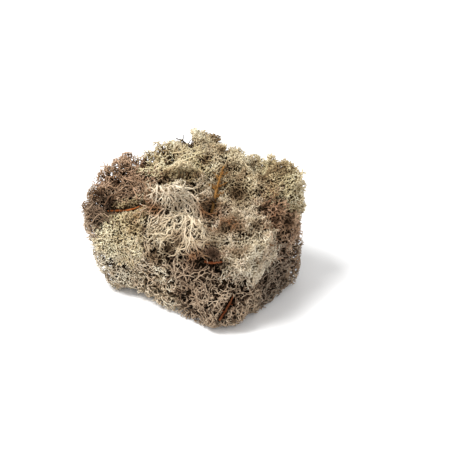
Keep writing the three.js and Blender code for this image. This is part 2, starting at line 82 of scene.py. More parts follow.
AXES = camera_axes()
SPOT = camera_spot(*AXES)
RIGHT, UP, BACK, CAMERA = (np.array(vector) for vector in (*AXES, SPOT))


def new_object(name, data):
    added = bpy.data.objects.new(name, data)
    bpy.context.scene.collection.objects.link(added)
    return added


def add_camera():
    camera = new_object("camera", bpy.data.cameras.new("camera"))
    camera.data.sensor_width = SENSOR_WIDTH
    camera.data.lens = SENSOR_WIDTH * CAMERA_DISTANCE / MM_PER_PIXEL / IMAGE_SIDE
    camera.matrix_world = Matrix.Translation(SPOT * MM) @ Matrix(AXES).transposed().to_4x4()
    bpy.context.scene.camera = camera


def rays_through(marks):
    """The directions from the camera through pixels, or the pixels that marks start with."""
    pixels = np.array([mark[:2] for mark in marks], float)
    offsets = (pixels - IMAGE_SIDE / 2) * MM_PER_PIXEL
    return unit(offsets[:, :1] * RIGHT - offsets[:, 1:] * UP - BACK * CAMERA_DISTANCE)


def pixels_of(places):
    """Where places show in the picture."""
    away = places - CAMERA
    scale = CAMERA_DISTANCE / -(away @ BACK) / MM_PER_PIXEL
    return np.stack([away @ RIGHT * scale, -(away @ UP) * scale], axis=1) + IMAGE_SIDE / 2


def in_polygon(pixels, corners):
    """Which pixels lie within a polygon."""
    x, y = pixels.T
    within = np.full(len(x), False)
    for (x0, y0), (x1, y1) in zip(corners, corners[1:] + corners[:1]):
        if y0 != y1:
            within ^= ((y0 > y) != (y1 > y)) & (x < (x1 - x0) * (y - y0) / (y1 - y0) + x0)
    return within


# ---- colours

# Each colour has its root, then its body and tip where the hue is 0, then where it is 1.
COLOURS = {
    "cream": ("7a664f", "8a6344", "b28866", "ccbc9e", "e6dcc6"),
    "straw": ("776146", "8c6642", "b48b5a", "cdbe95", "e9e0c2"),
    "beige": ("705a41", "865f3f", "ac8456", "c6b592", "e9e0c4"),
    "grey": ("695544", "7c5e42", "a4805f", "b9aa8c", "ddd3bd"),
    "pink_brown": ("3e2c20", "71492f", "9f6d4a", "a4886d", "cfb399"),
    "dark_brown": ("362a20", "624838", "8b6c54", "927b65", "bda991"),
    "peat": ("2c2219", "543a28", "775640", "7c6a5a", "a49583"),
    "orange_brown": ("3a1d0a", "8f4a20", "b4663a", "7d5a2c", "ab8350"),
    "black_brown": ("0f0c0a", "2c241e", "4a4038", "3a322b", "6a6058"),
    "red_brown": ("2c140b", "6b341c", "9a5a38", "7d4a30", "a87a5a"),
}
DEEP_SHADE_COLOUR = "32261a"  # in the depth of every tuft: the core's own dark brown, and the painted shade of creases and pits

# ---- habits of growth

# How the branches of a tuft grow: one row for each value, and one column for each habit.
HABIT_NAMES = ("cushion", "net", "fan", "straggle", "packed")
HABIT_ROWS = {
    # The least distance between two crowns.
    "gap": (2.15, 3.6, 4.2, 4, 3.4),
    # Of a crown's branches, from its stem to its tips.
    "lengths": ((2.4, 1.8, 1.5), (3, 2.4, 2), (2.8, 2.2, 1.8), (3.4, 2.8, 2.2), (2.4, 2.2, 2)),
    "radii": ((0.5, 0.4), (0.46, 0.36), (0.5, 0.42), (0.45, 0.35), (0.5, 0.4)),
    # The angle at which they part, and how far their direction strays.
    "spread": (0.85, 0.95, 0.7, 0.75, 1),
    "uneven": (0.25, 0.35, 0.2, 0.35, 0.3),
    # The share of a fork's three places that carry a branch, level by level.
    "keep": ((1, 0.9), (0.9, 0.8), (1, 0.9), (0.9, 0.8), (0.9, 0.8)),
    # How far a crown points straight out of the surface, and not along the tuft's lean.
    "upright": (0.8, 0.6, 0.5, 0.5, 0.4),
    # How light the crowns are beside the stems that lie over them, as painted shade under the fan's
    # stems.
    "tone": (1, 1, 0.6, 1, 1),
    # Forked stems that lie over the surface, for each crown.
    "trees": (0.08, 0.3, 0.02, 0.4, 0.2),
    # The length and radius of such a stem's first part, and the angle at which it forks.
    "segment": (3.4, 5, 4.8, 6.5, 4.5),
    "stem_radius": (0.48, 0.6, 0.6, 0.6, 0.48),
    "fork": (0.5, 0.62, 0.5, 0.45, 0.55),
    # How far it strays from a straight course, and how far it follows the tuft's lean.
    "wander": (0.18, 0.22, 0.14, 0.2, 0.2),
    "comb": (0.2, 0.15, 0.6, 0.6, 0.1),
    # How deep under the outline it may run.
    "depth": (1.6, 2.6, 2.4, 2.4, 1.8),
    # Thin dark sticks that stand out of the tuft.
    "sticks": (1, 9, 0, 14, 8),
    # How far branches may stand out of the clump's outline.
    "slack": (1, 1.4, 2.4, 2, 0.3),
}
HABITS = {
    name: SimpleNamespace(**{key: row[column] for key, row in HABIT_ROWS.items()})
    for column, name in enumerate(HABIT_NAMES)
}

# ---- tufts and litter

# The habit, the colour and the lean of each tuft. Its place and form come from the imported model.
TUFTS = {
    "tuft_crest": ("cushion", "beige", (0, 0, 1)),
    "tuft_crest_right": ("cushion", "beige", (0.4, 0.2, 1)),
    "tuft_ridge_pale": ("net", "straw", (1, -0.1, 0.2)),
    "tuft_ridge_middle": ("cushion", "straw", (0.4, -0.7, 0.4)),
    "tuft_brown_upper": ("net", "pink_brown", (-0.4, -0.4, 0.6)),
    "tuft_brown_lower": ("net", "pink_brown", (0.6, -0.6, 0.2)),
    "tuft_dark_left": ("straggle", "dark_brown", (-0.6, -0.3, 0.7)),
    "tuft_front_yellow": ("cushion", "straw", (-0.3, -0.6, 0.5)),
    "tuft_fan": ("fan", "cream", (0.5, -0.7, -0.4)),
    "tuft_fan_fringe": ("fan", "cream", (0.45, -0.7, -0.5)),
    "tuft_front_right": ("cushion", "cream", (0.3, -0.3, 0.8)),
    "tuft_right_middle": ("cushion", "cream", (0.2, -0.3, 0.9)),
    "tuft_right_straw": ("cushion", "straw", (0.6, 0.2, 0.6)),
    "tuft_back_beige": ("cushion", "beige", (0.2, -0.4, 0.8)),
    "tuft_right_brown": ("net", "pink_brown", (0.7, -0.4, 0.3)),
    "tuft_left_valley": ("net", "pink_brown", (0.3, -0.5, 0.6)),
    "tuft_valley": ("cushion", "grey", (0, -0.4, 0.8)),
    "tuft_hollow": ("net", "dark_brown", (0.3, -0.4, 0.8)),
    "tuft_front_dark": ("straggle", "dark_brown", (0.2, -0.6, 0.3)),
    "tuft_back_left": ("cushion", "beige", (-0.4, 0.7, 0.4)),
    "tuft_back_middle": ("net", "pink_brown", (0, 0.9, 0.2)),
    "tuft_back_right": ("cushion", "grey", (0.2, 0.8, 0.3)),
    "tuft_low_front_left": ("packed", "grey", (0, -0.3, 0.9)),
    "tuft_low_front": ("packed", "cream", (-0.2, -0.3, 0.9)),
    "tuft_low_corner": ("packed", "dark_brown", (0.3, -0.3, 0.7)),
    "tuft_low_right": ("packed", "peat", (0.2, 0.3, 0.8)),
    "tuft_low_back_right": ("packed", "dark_brown", (0.3, 0.3, 0.8)),
    "tuft_low_back": ("packed", "grey", (0, 0.3, 0.8)),
    "tuft_low_back_left": ("packed", "dark_brown", (-0.3, 0.3, 0.8)),
    "tuft_low_left": ("packed", "grey", (-0.5, 0, 0.7)),
    "tuft_low_middle": ("packed", "peat", (0, 0, 1)),
}


class Twig:
    """A bit of litter: its colour, its route from foot to tip, its radii at both ends, its hue,
    how many side twigs it has and how long they are, and how many needles."""

    def __init__(self, colour, route, radii, hue=0.2, twigs=0, twig_length=0, needles=0):
        self.colour, self.route, self.radii, self.hue = colour, route, radii, hue
        self.twigs, self.twig_length, self.needles = twigs, twig_length, needles


LITTER = {
    "litter_sprig": Twig(
        "orange_brown",
        [(20.5, -3.3, 60), (18.5, 2.7, 67), (16.5, 8.7, 73), (14.5, 15.7, 79), (12.5, 22.7, 84)],
        (1.2, 0.4), hue=0.9, twigs=6, twig_length=8, needles=260,
    ),
    "litter_needle": Twig(
        "orange_brown",
        [(-45.5, -37.3, 56), (-39.5, -34.3, 57), (-32.5, -32.3, 58.5), (-26.5, -28.3, 60.5),
         (-22.5, -24.3, 63)],
        (0.95, 0.6),
    ),
    "litter_dark_twig": Twig(
        "black_brown",
        [(-18.5, 33.7, 84), (-26.5, 34.7, 84.5), (-34.5, 36.7, 86), (-41.5, 37.7, 85.5)],
        (0.75, 0.4), twigs=2, twig_length=7,
    ),
    "litter_red_stem": Twig(
        "red_brown",
        [(56.5, -45.3, 7), (58.5, -42.3, 12), (60.5, -39.3, 18), (62.5, -35.3, 25)],
        (1, 0.6), twigs=2, twig_length=5,
    ),
    "litter_brown_stem": Twig(
        "red_brown", [(43.5, -43.3, 48), (49.5, -42.3, 48.5), (55.5, -39.3, 50)], (1, 0.6),
    ),
}

# ---- marks on the side in view

# Each mark starts with the x and y of the pixel where it shows, and then has a radius.

# Pits between cushions, with their depths.
PITS = [
    (229, 168, 5.5, 11), (235, 176, 4, 9), (236, 192, 6, 12), (242, 200, 5.5, 11),
    (228, 198, 3, 6), (262, 176, 3.5, 9), (201, 190, 3, 4), (205, 207, 3, 3), (216, 202, 3, 5),
    (224, 227, 4, 6), (208, 225, 3, 5), (218, 243, 3.5, 7), (212, 256, 4, 5), (168, 249, 3.5, 4),
    (178, 243, 3, 3), (166, 175, 3, 3), (177, 177, 3, 2), (188, 176, 3, 3), (197, 174, 3, 3),
    (130, 204, 4, 5), (112, 202, 4, 5), (98, 194, 3.5, 6), (133, 227, 2.4, 4),
    (143, 229, 2.4, 4), (246, 244, 3, 6), (236, 250, 3.5, 5), (292, 224, 5, 4), (281, 172, 3, 5),
    (150, 258, 4, 3), (228, 214, 3, 4), (222, 150, 3, 4), (264, 205, 3, 4), (206, 160, 3, 4),
    (238, 215, 3, 4), (258, 225, 3, 4), (118, 180, 3, 4), (140, 186, 3, 4), (219, 134, 6, 3),
    (280, 161, 9, 2.5),
]
# The painted shade of a pit, with a browner hue: what it adds to the hue and the shade, how wide it
# reaches beside its radius, and how far down the pit its middle lies.
PIT_PAINTED_SHADE = (-0.25, -0.75)
PIT_REACH = 1.2
PIT_SHADE_DEPTH = 0.6

# Where the surface rises, with the heights.
RISES = [
    (98, 238, 10, 3), (101, 252, 10, 4), (107, 266, 9, 3), (113, 277, 8, 2), (220, 316, 10, 4),
    (236, 312, 10, 3.5), (204, 311, 10, 3), (252, 300, 8, 2), (194, 134, 6, 3), (172, 199, 9, 2),
    (187, 206, 8, 1), (180, 222, 8, 4), (193, 224, 7, 3), (166, 224, 7, 3), (206, 240, 6, 2.5),
    (84, 214, 7, 0.5), (87, 224, 7, 2.5),
]

# Notches in the silhouette, through the whole clump.
NOTCHES = [
    (182, 132, 5), (187, 137, 4.5), (190, 142, 3), (83, 184, 6.5), (88, 176, 5.5),
    (81, 196, 4.5), (96, 166, 4.5), (76, 203, 4.5), (222, 131, 4), (300, 156, 6), (306, 164, 4),
]

# Where branches drape over the gaps between tufts.
DRAPED = [(178, 206, 20), (190, 238, 14)]

# Stains and painted shade, with what is added to the hue and to the shade: the hue makes patches
# browner, and the shade darkens gaps and hollows as painted shade, or lightens a few places.
STAINS_AND_SHADE = [
    (150, 205, 7, -0.8, -0.15), (157, 211, 4, -0.5, -0.1), (212, 143, 6, -0.4, -0.1),
    (166, 170, 6, -0.4, -0.12), (272, 189, 8, -0.5, -0.15), (280, 215, 12, -0.5, -0.1),
    (222, 218, 8, -0.8, -0.35), (236, 224, 6, -0.7, -0.3), (209, 209, 8, -1, -0.35),
    (200, 258, 8, -0.8, 0.2), (213, 259, 5, -1, 0), (188, 259, 6, -0.6, 0.2),
    (240, 170, 5, -0.3, -0.05), (176, 235, 4, -0.4, -0.2), (134, 220, 5, -0.4, 0),
    (222, 300, 14, 0, 0.35), (135, 272, 8, -0.2, -0.3), (158, 290, 8, -0.2, -0.3),
    (178, 299, 7, -0.2, -0.25), (211, 245, 6, -0.6, -0.4), (209, 227, 5, -0.6, -0.3),
    (215, 252, 5, -0.7, -0.25), (92, 202, 12, -0.15, -0.15), (192, 162, 6, -0.1, 0.12),
]

# The area in pixels that the pale fan covers, and the height where its fringe takes over.
FAN_AREA = [
    (153, 181), (166, 177), (184, 178), (198, 184), (205, 196), (203, 214), (212, 230), (215, 243),
    (206, 252), (194, 258), (178, 258), (166, 250), (150, 243), (140, 235), (143, 222), (151, 212),
    (153, 198),
]
FRINGE_TOP = 224
FAN_THICKNESS = 9  # in millimetres, from the surface in view
FAN_ROOT = np.array([-20.5, 11, 77])  # in millimetres: its smaller stems spread from here

# Stems in full view: the x and y of each pixel that one runs through, from its foot.
FAN_STEMS = [
    (164, 186, 171, 188, 178, 193, 185, 201, 190, 212, 192, 224, 190, 238, 186, 250),
    (168, 182, 176, 185, 184, 189, 191, 196, 197, 207, 203, 219, 208, 231, 212, 241),
    (167, 189, 173, 195, 177, 204, 178, 215, 175, 226, 168, 235, 159, 242),
    (160, 187, 165, 195, 166, 205, 163, 214, 157, 222, 149, 229),
    (177, 206, 183, 216, 184, 228, 178, 239, 170, 247),
    (176, 186, 185, 190, 194, 196, 201, 204, 205, 213),
    (184, 199, 192, 209, 198, 221, 202, 234, 203, 248),
    (158, 186, 157, 195, 154, 204, 149, 212),
    (190, 214, 196, 226, 205, 235, 211, 246),
    (182, 232, 181, 243, 175, 252, 167, 257),
    (190, 232, 194, 243, 197, 254),
    (165, 206, 158, 215, 151, 221),
    (172, 228, 163, 232, 154, 236, 146, 241),
    (180, 187, 187, 186, 194, 188),
    (169, 190, 164, 200, 160, 209),
    (186, 204, 180, 214, 178, 224),
    (176, 188, 183, 192, 190, 199, 196, 209, 200, 219, 207, 226),
    (173, 192, 180, 198, 185, 206, 187, 218, 186, 230, 184, 242),
    (163, 190, 168, 195, 172, 203, 172, 214, 168, 224, 161, 232),
    (180, 190, 190, 193, 199, 199),
    (186, 196, 195, 203, 203, 208),
    (176, 212, 170, 221, 162, 227, 153, 230),
    (189, 220, 199, 228, 207, 236, 213, 238),
    (184, 228, 186, 240, 186, 252),
    (160, 184, 154, 190, 151, 198),
    (166, 215, 160, 224, 150, 236),
]
RIDGE_STEMS = [
    (176, 157, 184, 155, 192, 153, 201, 152),
    (178, 160, 186, 158, 194, 156, 202, 155),
    (172, 154, 181, 151, 190, 150),
    (176, 170, 181, 164, 188, 161, 196, 163),
    (182, 172, 187, 166, 194, 168),
]
BROWN_STEMS = [
    (121, 178, 131, 179, 140, 183, 149, 191),
    (118, 190, 128, 186, 138, 188, 146, 196),
    (104, 203, 112, 197, 121, 191, 130, 193),
    (132, 181, 134, 190, 137, 199),
    (146, 172, 150, 181, 149, 191),
    (108, 185, 117, 183, 126, 176),
]
DARK_STEMS = [
    (87, 218, 93, 212, 100, 209, 108, 211),
    (89, 224, 96, 217, 103, 214, 110, 216),
    (93, 229, 98, 222, 105, 218),
    (87, 210, 92, 205, 98, 201),
]
# For each tuft with such stems: their routes, the radius of their feet, and their tone.
LAID_STEMS = {
    "tuft_fan": (FAN_STEMS, 0.7, 0.85), "tuft_fan_fringe": (FAN_STEMS, 0.7, 0.57),
    "tuft_ridge_pale": (RIDGE_STEMS, 0.6, 0.75), "tuft_brown_lower": (BROWN_STEMS, 0.5, 0.5),
    "tuft_dark_left": (DARK_STEMS, 0.5, 0.42),
}

# ---- geometry helpers

SIDES = ((0, 1), (1, 2), (2, 0))  # of a triangle, by its corners
THIRDS = [corner * 2 * math.pi / 3 for corner in range(3)]  # of a turn


def unit(vectors):
    return vectors / np.maximum(np.linalg.norm(vectors, axis=-1, keepdims=True), 1e-9)


def any_directions(rng, count):
    return unit(rng.normal(size=(count, 3)))


def frames(directions, spins):
    """Turns, one for each direction, that take +Z to it and spin about it."""
    z = unit(directions)
    helper = np.where(np.abs(z[:, 2:]) < 0.9, [[0.0, 0.0, 1.0]], [[1.0, 0.0, 0.0]])
    x = unit(np.cross(helper, z))
    y = np.cross(z, x)
    cos, sin = np.cos(spins)[:, None], np.sin(spins)[:, None]
    return np.stack([x * cos + y * sin, y * cos - x * sin, z], axis=2)


def thinned(points, gap):
    """The numbers of points that lie at least gap apart, taken in their order."""
    kept = []
    for number, point in enumerate(points):
        if not kept or np.min(((points[kept] - point) ** 2).sum(1)) > gap * gap:
            kept.append(number)
    return np.array(kept, int)


def smooth_line(points, steps):
    """A smooth line through points, with so many steps between two of them."""
    points = np.array(points, float)
    before, after = 2 * points[:1] - points[1:2], 2 * points[-1:] - points[-2:-1]
    guides = np.concatenate([before, points, after])
    part = np.linspace(0, 1, steps, endpoint=False)[:, None]
    line = []
    for a, b, c, d in zip(guides, guides[1:], guides[2:], guides[3:]):
        bend = 2 * a - 5 * b + 4 * c - d + part * (3 * b - a - 3 * c + d)
        line.append(b + 0.5 * part * (c - a + part * bend))
    return np.concatenate(line + [points[-1:]])


class Shape:
    """A branch's points and triangles, and how far along it each point is, from 0 to 1."""

    def __init__(self, points, triangles, along):
        self.points, self.triangles, self.along = map(np.array, (points, triangles, along))


class Growth:
    """The triangles of one piece, with the shade and hue of each point.

    The shade runs from 0 in the depth of the tuft to 1 at its tips. The hue sets a branch apart.
    """

    def __init__(self):
        self.parts = []
        self.count = 0

    def add(self, points, triangles, shades, hues):
        points, triangles = points.reshape(-1, 3), triangles.reshape(-1, 3) + self.count
        shades, hues = (np.broadcast_to(values, len(points)) for values in (shades, hues))
        self.parts.append((points, triangles, shades, hues))
        self.count += len(points)

    def arrays(self):
        return [np.concatenate(column) for column in zip(*self.parts)]

    def place(self, shape, at, turns, sizes, shades, hues):
        """Copies of one shape, each with its place, turn, size, shades at root and tip, and hue."""
        count = len(shape.points)
        copies = np.einsum("nij,pj->npi", turns, shape.points) * sizes[:, None, None] + at[:, None]
        triangles = shape.triangles[None] + (np.arange(len(at)) * count)[:, None, None]
        low, high = shades[:, :1], shades[:, 1:]
        self.add(copies, triangles, (low + (high - low) * shape.along).ravel(),
                 np.repeat(hues, count))

    def tubes(self, lines, radii, shades, hues, sides=3):
        """Tapered closed tubes along lines (n, m, 3), with radii (n, m) and shades (n, m)."""
        number, steps = lines.shape[:2]
        tangents = unit(np.gradient(lines, axis=1))
        x = frames(tangents[:, 0], np.zeros(number))[:, :, 0]
        angles = (np.arange(sides) * 2 * np.pi / sides)[:, None]
        rings = []
        for step in range(steps):
            tangent = tangents[:, step]
            x = unit(x - tangent * (x * tangent).sum(1, keepdims=True))
            ring = np.cos(angles) * x[:, None] + np.sin(angles) * np.cross(tangent, x)[:, None]
            rings.append(lines[:, step, None] + ring * radii[:, step, None, None])
        own = np.arange(sides)
        after = (own + 1) % sides
        walls = []
        for low in np.arange(steps - 1) * sides:
            high = low + sides
            walls.append(np.stack([low + own, low + after, high + after], 1))
            walls.append(np.stack([low + own, high + after, high + own], 1))
        last = (steps - 1) * sides
        for side in range(1, sides - 1):
            walls.append(np.array([[0, side + 1, side], [last, last + side, last + side + 1]]))
        firsts = (np.arange(number) * steps * sides)[:, None, None]
        self.add(np.stack(rings, axis=1), np.concatenate(walls)[None] + firsts,
                 np.repeat(shades.ravel(), sides), np.repeat(hues, steps * sides))


BAKE_MAP = "OFBake"  # a map that lays out each corner by its shade and hue


def new_piece(name, arrays, colour):
    """One mesh whose colours come from the shade and hue of its points."""
    points, triangles, *values = arrays
    shades, hues = np.clip(values, 0, 1).astype(np.float32)
    corners = triangles.astype(np.int32).ravel()
    mesh = bpy.data.meshes.new(name)
    mesh.vertices.add(len(points))
    mesh.vertices.foreach_set("co", (points * MM).astype(np.float32).ravel())
    mesh.loops.add(len(corners))
    mesh.loops.foreach_set("vertex_index", corners)
    mesh.polygons.add(len(triangles))
    mesh.polygons.foreach_set("loop_start", np.arange(0, len(corners), 3, dtype=np.int32))
    mesh.update(calc_edges=True)
    mesh.polygons.foreach_set("use_smooth", np.ones(len(triangles), bool))
    for attribute, values in (("shade", shades), ("hue", hues)):
        mesh.attributes.new(attribute, "FLOAT", "POINT").data.foreach_set("value", values)
    baked = np.stack([shades[corners], hues[corners]], 1).ravel()
    mesh.uv_layers.new(name=BAKE_MAP).data.foreach_set("uv", baked)
    mesh.materials.append(grown_material(colour))
    return new_object(name, mesh)


# ---- the solids


def node_triangles(name):
    """A node's points in millimetres and its triangles."""
    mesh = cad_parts[name].data
    mesh.calc_loop_triangles()
    points = np.empty(len(mesh.vertices) * 3, np.float32)
    mesh.vertices.foreach_get("co", points)
    triangles = np.empty(len(mesh.loop_triangles) * 3, np.int32)
    mesh.loop_triangles.foreach_get("vertices", triangles)
    return points.reshape(-1, 3).astype(float) / MM, triangles.reshape(-1, 3)


def middle_of(points, triangles):
    """The centre of a closed mesh's volume."""
    a, b, c = (points[triangles[:, corner]] for corner in range(3))
    volumes = np.einsum("ij,ij->i", a, np.cross(b, c))
    return ((a + b + c) / 4 * volumes[:, None]).sum(0) / volumes.sum()


def tree_of(points, triangles):
    return BVHTree.FromPolygons(points.tolist(), triangles.tolist())


class Joined:
    """Several meshes as one tree, which knows the owner of each triangle."""

    def __init__(self, meshes):
        self.points = np.concatenate([points for points, _ in meshes])
        firsts = np.cumsum([0] + [len(points) for points, _ in meshes[:-1]])
        self.triangles = np.concatenate([t + first for (_, t), first in zip(meshes, firsts)])
        self.owners = np.repeat(np.arange(len(meshes)), [len(t) for _, t in meshes])
        self.tree = tree_of(self.points, self.triangles)


# ---- cores

CORE_DETAIL = 4  # an icosphere's subdivisions
STEM_ANGLE = math.radians(13)  # stems narrower than twice this are taken off the core
CORE_ROUGHNESS = 0.35
CORE_DEPTH = 6.5  # of a core's surface under the outline
CORE_SHRINK = 0.9  # of what lies too high, step by step
CORE_STEPS = 20
CORE_LOWEST = 0.3  # above the ground
FAR = 150  # beyond every solid


def core_ball():
    ball = bmesh.new()
    bmesh.ops.create_icosphere(ball, subdivisions=CORE_DETAIL, radius=1)
    ball.verts.index_update()
    points = np.array([vertex.co[:] for vertex in ball.verts])
    triangles = np.array([[vertex.index for vertex in face.verts] for face in ball.faces])
    ball.free()
    return unit(points), triangles


CORE_DIRECTIONS, CORE_TRIANGLES = core_ball()
BESIDE = CORE_DIRECTIONS @ CORE_DIRECTIONS.T > math.cos(STEM_ANGLE)


def core_of(points, triangles, outline, rng):
    """A tuft's dense heart: its solid without the stems, roughened and kept deep."""
    middle = middle_of(points, triangles)
    tree = tree_of(points, triangles)
    reach = np.empty(len(CORE_DIRECTIONS))
    for number, direction in enumerate(CORE_DIRECTIONS):
        hit = tree.ray_cast(Vector(middle + direction * FAR), Vector(-direction), FAR)
        reach[number] = 1 if hit[0] is None else FAR - hit[3]
    without_stems = np.where(BESIDE, reach[None], np.inf).min(1)
    radii = np.where(BESIDE, without_stems[None], -np.inf).max(1)
    radii = radii + rng.normal(0, CORE_ROUGHNESS, len(radii)) - CORE_ROUGHNESS
    radii = np.maximum(radii, 1)[:, None]
    for _ in range(CORE_STEPS):
        shallow = outline.out_of(middle + CORE_DIRECTIONS * radii) > -CORE_DEPTH
        radii = np.where(shallow[:, None], radii * CORE_SHRINK, radii)
    core = middle + CORE_DIRECTIONS * radii
    core[:, 2] = np.maximum(core[:, 2], CORE_LOWEST)
    return core, CORE_TRIANGLES


# ---- the clump's outline

CELL = 1.5
ROUND_THE_CLUMP = 15
LOOSE_CLOSING = 5.5  # above, gaps up to twice this wide are filled with branches
HULL_CLOSING = 9  # below, and in the hull, which depth is measured from
GROWTH = 0.6  # how far the branches reach past the solids
RIGHT_GROWTH = 1.2  # and how much farther at the right end
RIGHT_END = 60
MOST_CELLS = 8  # how far distances are worked out
PRESSED_TOP = 46  # under this height the tufts are pressed to a wall
PRESSED_BLEND = 12
SHADE_DEPTH = 6.5  # where the light has fallen to about a third, under the whole surface
HULL_SHADE_DEPTH = 30  # and under the hull
OPEN_STEPS = (2, 4, 7, 11)  # out of the surface, where its openness is measured
CUSHION_SIZE = 13  # of the small cushions that a tuft's surface is made of
CREASE_DEPTH = 4  # between two cushions
CREASE_WIDTH = 0.16  # as a share of a cushion
CREASE_BEND = 8  # length of the bends in a crease
CREASE_STRAY = 0.25  # how far they reach, as a share of a cushion
NOISE_PLACES = (0, 100, 200)  # one for each part of a bend
PRESSED_CREASES = 0.35  # share of the creases' depth that is left where it is pressed
DIG_REACH = 12  # on either side of the surface
CLEARING = 2.6  # how far round a bit of litter no branches grow
DEEPEST_CLEARED = 9
CLEARED_STEPS = 3  # between two places of its route
CLEARED_WAY = (0.6, 3, 6, 9, 12, 15)  # from its middle out to the side in view
VIEW_STEPS = 70  # of a ray from the camera to the surface
VIEW_STEP = 0.8  # of the distance that is left
SURFACE_STEPS = 2  # from a place to the surface
NEAR_CELLS = 0.7  # how far a spot's cell may lie from the surface


def distance_to(filled):
    """The distance from each cell to the nearest filled one, in cells, up to MOST_CELLS."""
    squares = np.where(filled, 0.0, 1e6)
    for axis in range(3):
        nearest = squares.copy()
        for step in range(1, MOST_CELLS + 1):
            for way in (step, -step):
                np.minimum(nearest, np.roll(squares, way, axis) + step * step, out=nearest)
        squares = nearest
    return np.minimum(np.sqrt(squares), MOST_CELLS)


def smoothed(values):
    for axis in range(3):
        values = values / 2 + (np.roll(values, 1, axis) + np.roll(values, -1, axis)) / 4
    return values


def closed(filled, closing):
    """The distance out of the filled cells, once gaps of twice the closing are filled."""
    grown = distance_to(filled) <= closing / CELL
    whole = (distance_to(~grown) > closing / CELL) | filled
    return smoothed(np.where(whole, 0.5 - distance_to(~whole), distance_to(whole) - 0.5) * CELL)


def nearness(places, middle, radius):
    """From 1 at the middle down to a third at the radius."""
    return np.exp(-((places - middle) ** 2).sum(1) / radius ** 2)


def creases(places):
    """How much deeper the surface lies at each place, by the creases between its cushions."""
    depths = np.empty(len(places))
    for number, place in enumerate(places):
        bend = Vector(noise.noise(Vector(place + far) / CREASE_BEND) for far in NOISE_PLACES)
        nearest = noise.voronoi(Vector(place) / CUSHION_SIZE + bend * CREASE_STRAY)[0]
        depths[number] = math.exp(-(nearest[1] - nearest[0]) / CREASE_WIDTH)
    return CREASE_DEPTH * depths * np.where(places[:, 2] < PRESSED_TOP, PRESSED_CREASES, 1)


